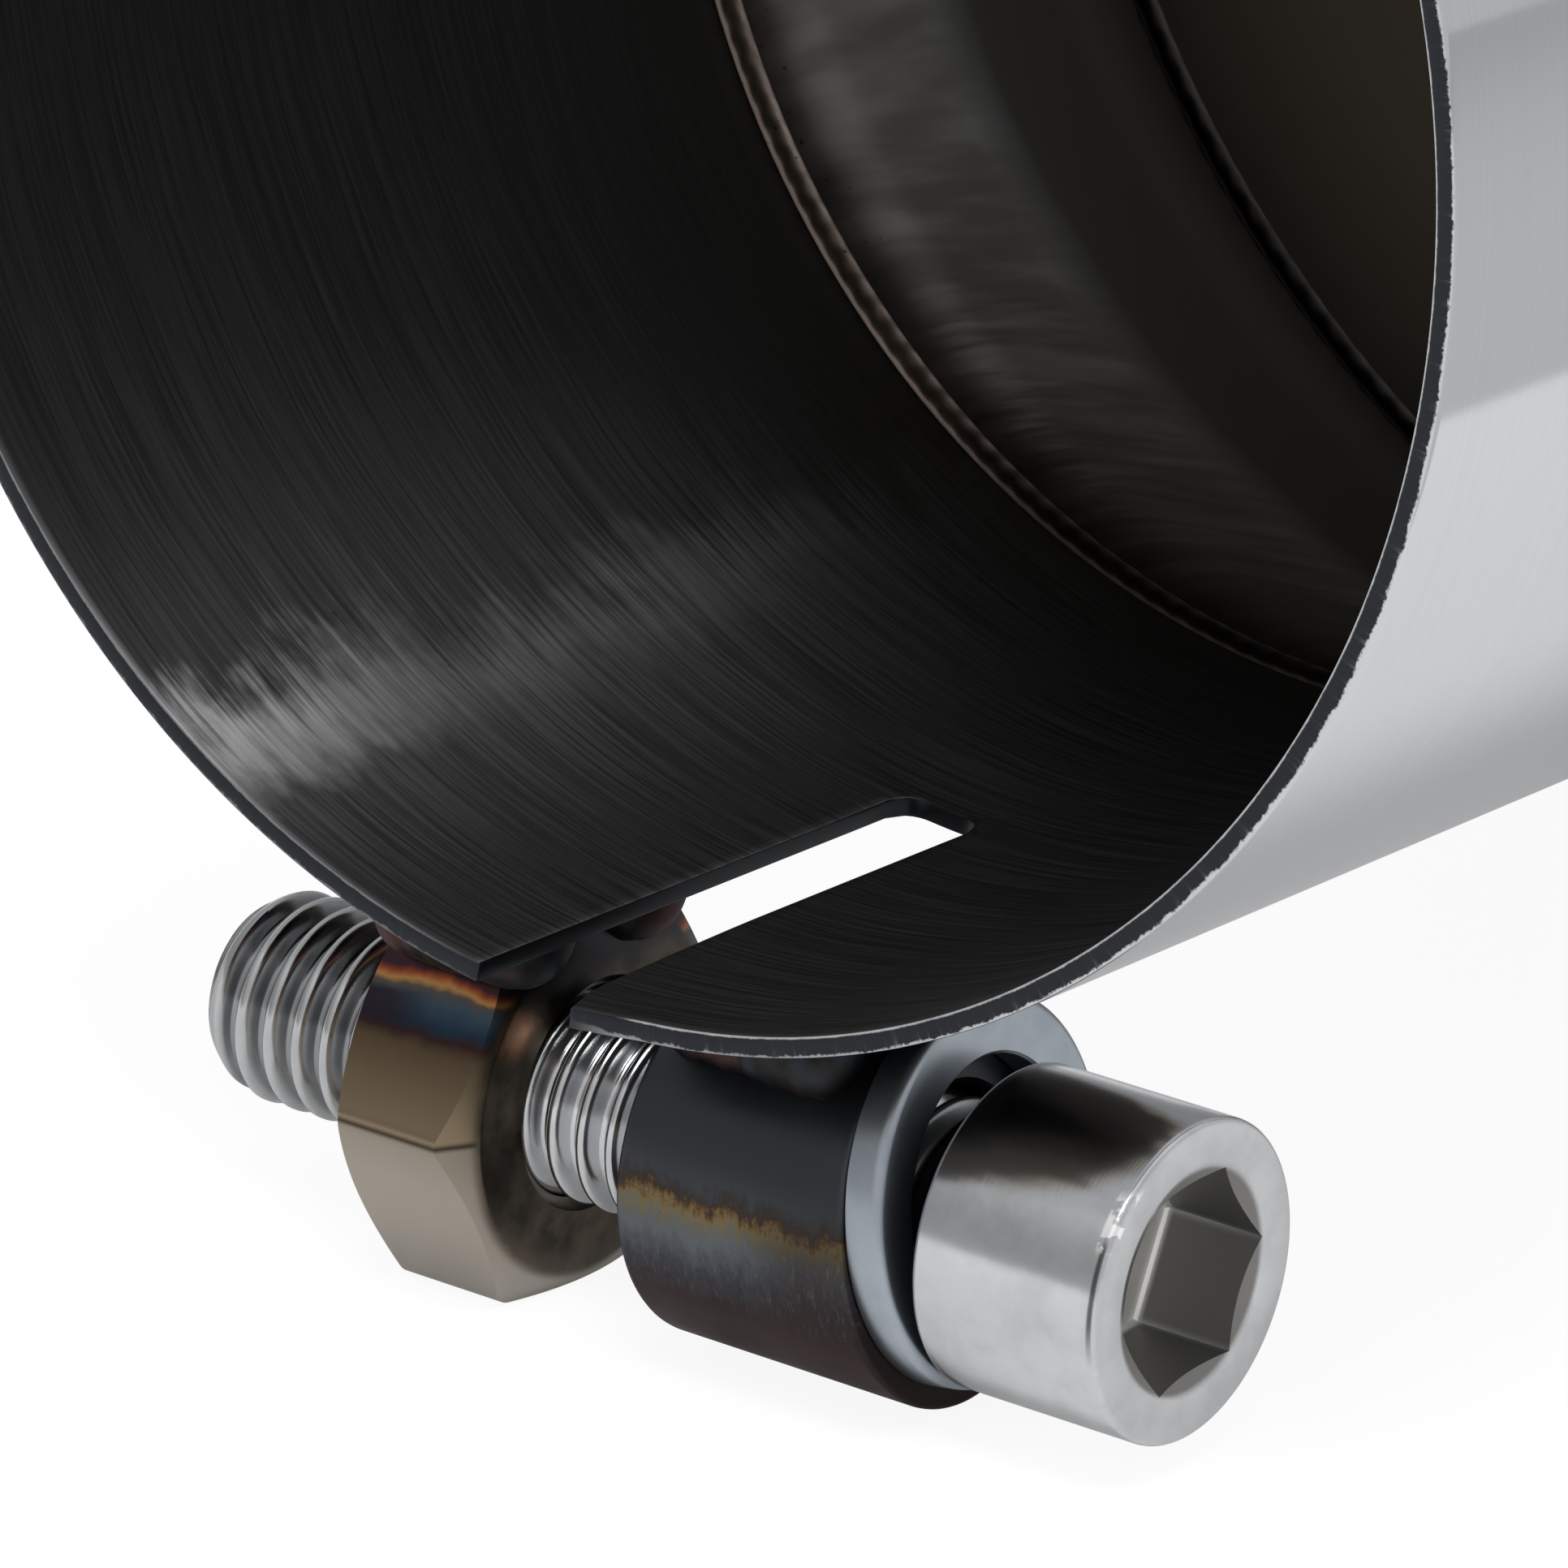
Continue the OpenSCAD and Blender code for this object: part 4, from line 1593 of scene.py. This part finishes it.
@dataclass
class ClampNut:
    """Hexagon nut with both ends chamfered."""

    af: float = 17.46
    thickness: float = 7.5
    near_x: float = -8.4
    hole_r: float = 4.8
    face_r: float = 8.05
    face_soft: float = 0.08
    mouth: float = 0.5
    slope: float = 30.0
    corner_soft: float = 0.16
    hard_from: float = 20.0

    def build(self, material: bpy.types.Material) -> bpy.types.Object:
        """Makes the nut with its flats level with the tube."""
        far = self.near_x - self.thickness
        slope = math.tan(math.radians(self.slope))
        half_flat = TURN / 12

        def flat(angle: float) -> float:
            """Distance from the axis to the flats, with soft corners."""
            turned = abs((angle + half_flat) % (2 * half_flat) - half_flat)
            radius = self.af / 2 / math.cos(half_flat - turned)
            return radius - self.corner_soft * max(0.0, 1 - turned / 0.05) ** 2

        def chamfer(end: float, inward: int) -> Ring:
            """The line where the flats meet an end's chamfer."""
            return lambda a: (flat(a), end + inward * max(0.0, flat(a) - self.face_r) * slope)

        rings: list[Ring] = [
            level(self.hole_r, self.near_x - self.mouth), level(self.hole_r + self.mouth, self.near_x),
            level((self.hole_r + self.face_r) / 2, self.near_x),
            level(self.face_r - self.face_soft, self.near_x),
            level(self.face_r + 0.06, self.near_x - 0.05), chamfer(self.near_x, -1),
            lambda a: (flat(a), self.near_x - self.thickness * 0.35),
            lambda a: (flat(a), self.near_x - self.thickness * 0.65),
            chamfer(far, 1), level(self.face_r + 0.06, far + 0.05), level(self.face_r - self.face_soft, far),
            level(self.hole_r + self.mouth, far), level(self.hole_r, far + self.mouth),
        ]
        mesh = turned_mesh("clamp_nut_fine", rings, steps(432), AXIS.matrix(), True, hard_from=self.hard_from)
        return publish(mesh, "clamp_nut_fine", [material], "nut_steel", "clamp_nut")


@dataclass
class ClampWeld:
    """Weld beads between the tube and one clamp piece."""

    name: str
    node: str
    start: float
    end: float
    side: float
    up: float
    radius: float
    floor_up: float
    far_side: float | None = None
    step: float = 0.85
    voxel: float = 0.16
    tube_r: float = 42.3
    sunk: float = 0.35
    core_above: float = 0.5
    drop: tuple[float, float, float] = (0.62, 1.0, 0.92)

    def build(self, material: bpy.types.Material) -> bpy.types.Object:
        """Lays overlapping drops along both sides and melts them together."""
        made = bmesh.new()
        frame = AXIS.matrix()
        count = max(2, round((self.end - self.start) / self.step))
        far_side = self.side if self.far_side is None else self.far_side
        for sign, side in ((-1, self.side), (1, far_side)):
            for index in range(count + 1):
                share = index / count
                wander = 0.22 * noise.noise(Vector((index * 0.7, sign * 3.1, 0.0)))
                size = self.radius * (1 + 0.10 * noise.noise(Vector((index * 1.3, sign * 7.7, 2.0))))
                along = self.start + (self.end - self.start) * share
                centre = Vector((along, sign * (side + wander), self.up))
                place = frame @ Matrix.Translation(centre) @ Matrix.Diagonal((*self.drop, 1.0))
                bmesh.ops.create_icosphere(made, subdivisions=3, radius=size, matrix=place)
        low, top = self.floor_up, self.up + self.core_above
        middle = ((self.start + self.end) / 2, (far_side - self.side) / 2, (low + top) / 2)
        block = (self.end - self.start, far_side + self.side, top - low, 1.0)
        core = frame @ Matrix.Translation(middle) @ Matrix.Diagonal(block)
        bmesh.ops.create_cube(made, size=1.0, matrix=core)
        bmesh.ops.scale(made, vec=(MM, MM, MM), verts=made.verts)
        holder = hold(to_mesh(made, self.name))
        melt = holder.modifiers.new("melt", "REMESH")
        melt.mode = "VOXEL"
        melt.voxel_size = self.voxel * MM
        calm = holder.modifiers.new("calm", "SMOOTH")
        calm.iterations = 4
        done = applied(holder)
        self.keep_out(done)
        smooth(done, 180)
        return publish(done, self.name, [material], "clamp_weld_metal", self.node)

    def keep_out(self, mesh: bpy.types.Mesh) -> None:
        """Holds the bead just under the tube's outer skin."""
        limit = self.tube_r - self.sunk
        for vertex in mesh.vertices:
            x, z = vertex.co.x / MM, vertex.co.z / MM
            reach = math.hypot(x, z)
            if reach < limit:
                vertex.co.x *= limit / reach
                vertex.co.z *= limit / reach


@dataclass(frozen=True)
class Studio:
    """Camera, lamps, white world and floor."""

    place: tuple[float, float, float] = (287.93, -352.70, 133.50)
    right: tuple[float, float, float] = (0.77789, 0.62752, 0.03333)
    down: tuple[float, float, float] = (0.23816, -0.24531, -0.93973)
    ahead: tuple[float, float, float] = (-0.58152, 0.73895, -0.34028)
    lens: float = 267.33
    floor_z: float = -59.72
    room: float = 0.68
    wall: float = 0.40
    card_x: float = 92.0
    seen_share: float = 0.86
    gloss_share: float = 0.20
    seen_white: float = 1.06

    def camera(self) -> None:
        """Sets the camera where the photograph was taken from."""
        data = bpy.data.cameras.new("camera")
        data.lens = self.lens
        data.sensor_width = 36.0
        data.clip_start = 0.01
        view = bpy.data.objects.new("camera", data)
        bpy.context.scene.collection.objects.link(view)
        turn = Matrix((self.right, [-c for c in self.down], [-c for c in self.ahead])).transposed()
        view.matrix_world = Matrix.Translation(Vector(self.place) * MM) @ turn.to_4x4()
        bpy.context.scene.camera = view

    def lamp(self, name: str, place: Sequence[float], target: Sequence[float], size: float,
             power: float) -> None:
        """Adds one soft square lamp.

        Args:
            name: The lamp's name.
            place: Where it hangs, in millimetres.
            target: The point that it faces.
            size: Its side, in millimetres.
            power: Its power in watts.
        """
        data = bpy.data.lights.new(name, "AREA")
        data.size = size * MM
        data.energy = power
        body = bpy.data.objects.new(name, data)
        bpy.context.scene.collection.objects.link(body)
        body.location = Vector(place) * MM
        aim = Vector(target) * MM - body.location
        body.rotation_euler = aim.to_track_quat("-Z", "Y").to_euler()

    def world(self) -> None:
        """White backdrop for the camera; a pale grey room for light and gloss."""
        world = bpy.data.worlds.new("studio")
        world.use_nodes = True
        sheet = NodeSheet(world.node_tree)
        world.node_tree.nodes.clear()
        path = sheet.add("LightPath")
        seen = sheet.math("MAXIMUM", path.outputs["Is Camera Ray"], path.outputs["Is Transmission Ray"])
        parts = sheet.add("SeparateXYZ", {0: sheet.add("TexCoord").outputs["Generated"]})
        room = sheet.span(parts.outputs[2], 0.25, 0.9)
        side = sheet.span(parts.outputs[0], -0.6, 0.5)
        wall = sheet.plus(self.wall, sheet.times(side, 0.25), sheet.times(room, 0.35))
        gloss = path.outputs["Is Glossy Ray"]
        plain = sheet.plus(self.room, sheet.times(gloss, sheet.minus(wall, self.room)))
        strength = sheet.plus(plain, sheet.times(seen, sheet.minus(1.0, plain)))
        back = sheet.add("Background", {"Color": (1.0, 1.0, 1.0), "Strength": strength})
        out = sheet.add("OutputWorld")
        world.node_tree.links.new(back.outputs[0], out.inputs[0])
        bpy.context.scene.world = world

    def floor(self) -> None:
        """Lays a wide white floor just under the clamp, with a faint shadow."""
        mesh = bpy.data.meshes.new("floor")
        half, z = 6.0, self.floor_z * MM
        corners = [(-half, -half, z), (half, -half, z), (half, half, z), (-half, half, z)]
        mesh.from_pydata(corners, [], [(0, 1, 2, 3)])
        plate = bpy.data.objects.new("floor", mesh)
        bpy.context.scene.collection.objects.link(plate)
        surface = Surface("floor_white", 0.0)
        sheet = surface.sheet
        path = sheet.add("LightPath")
        seen = path.outputs["Is Camera Ray"]
        gloss = sheet.math("MAXIMUM", path.outputs["Is Glossy Ray"], path.outputs["Is Transmission Ray"])
        parts = sheet.add("SeparateXYZ", {0: sheet.add("TexCoord").outputs["Object"]})
        beyond = sheet.span(parts.outputs[0], self.card_x * MM, (self.card_x + 4) * MM)
        glow = sheet.minus(1.0, sheet.times(beyond, 0.33))
        share = sheet.plus(sheet.times(seen, self.seen_share), sheet.times(gloss, self.gloss_share))
        white = sheet.mix_value(seen, glow, self.seen_white)
        bright = sheet.add("Emission", {"Color": (1.0, 1.0, 1.0), "Strength": white})
        lit = sheet.mix(sheet.times(gloss, beyond), (0.95, 0.95, 0.95), (0.64, 0.64, 0.64))
        surface.finish(lit, 0.9)
        blend = sheet.add("MixShader", {0: share, 1: surface.shader.outputs[0], 2: bright.outputs[0]})
        output = next(n for n in sheet.tree.nodes if n.type == "OUTPUT_MATERIAL")
        sheet.tree.links.new(blend.outputs[0], output.inputs[0])
        plate.data.materials.append(surface.material)

    def build(self) -> None:
        """Sets up everything that is not the part."""
        scene = bpy.context.scene
        scene.view_settings.view_transform = "Standard"
        self.camera()
        self.world()
        self.floor()
        self.lamp("overhead", (225, -340, 800), (0, 20, -20), 320, 4.2)


def main() -> None:
    """Loads the frame, dresses every piece and lights the scene."""
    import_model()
    shared = SharedEffects()
    tube = InletTube()
    wedge = Wedge()
    outer = OuterSteel("polished_outside").build(shared)
    inner = InletInside("inlet_inside").build(shared)
    edge = CutEdge("cut_edge", tube.inner_r, tube.outer_r).build(shared)
    deep = FlareInside("flare_inside").build(shared)
    tube.build([outer, inner, edge])
    FlareShell().build([outer, deep])
    OutletShell().build([outer, deep])
    inlet_seam = SeamMetal("inlet_seam", Tint.SEAM, 55.0, 42.0).build(shared)
    RingWeld("inlet_weld_bead", "inlet_weld", 55.0, 41.35).build(inlet_seam)
    outlet_seam = SeamMetal("outlet_seam", Tint.RING, 102.0, 56.9).build(shared)
    RingWeld("outlet_weld_bead", "outlet_weld", 102.0, 56.2).build(outlet_seam)
    ClampScrew().build(Zinc("screw_plate", (0.62, 0.63, 0.64), (0.52, 0.53, 0.55)).build(shared))
    washer = Zinc("washer_plate", (0.40, 0.44, 0.48), (0.33, 0.37, 0.42), rough=0.30).build(shared)
    FlatWasher().build(washer, wedge)
    ClampSleeve().build(SleeveScale("sleeve_scale").build(shared), wedge)
    ClampNut().build(NutBronze("nut_bronze").build(shared))
    weld = WeldMetal("clamp_weld").build(shared)
    ClampWeld(
        "sleeve_weld_bead", "sleeve_weld",
        start=0.8, end=8.1, side=5.1, up=7.4, radius=2.0, floor_up=5.2,
    ).build(weld)
    ClampWeld(
        "nut_weld_bead", "nut_weld",
        start=-14.2, end=-8.2, side=5.4, up=8.9, radius=2.7, floor_up=8.0, far_side=2.4, step=0.5,
    ).build(weld)
    Studio().build()
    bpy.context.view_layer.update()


if __name__ == "__main__":
    logging.basicConfig(level=logging.INFO, format="%(message)s")
    main()
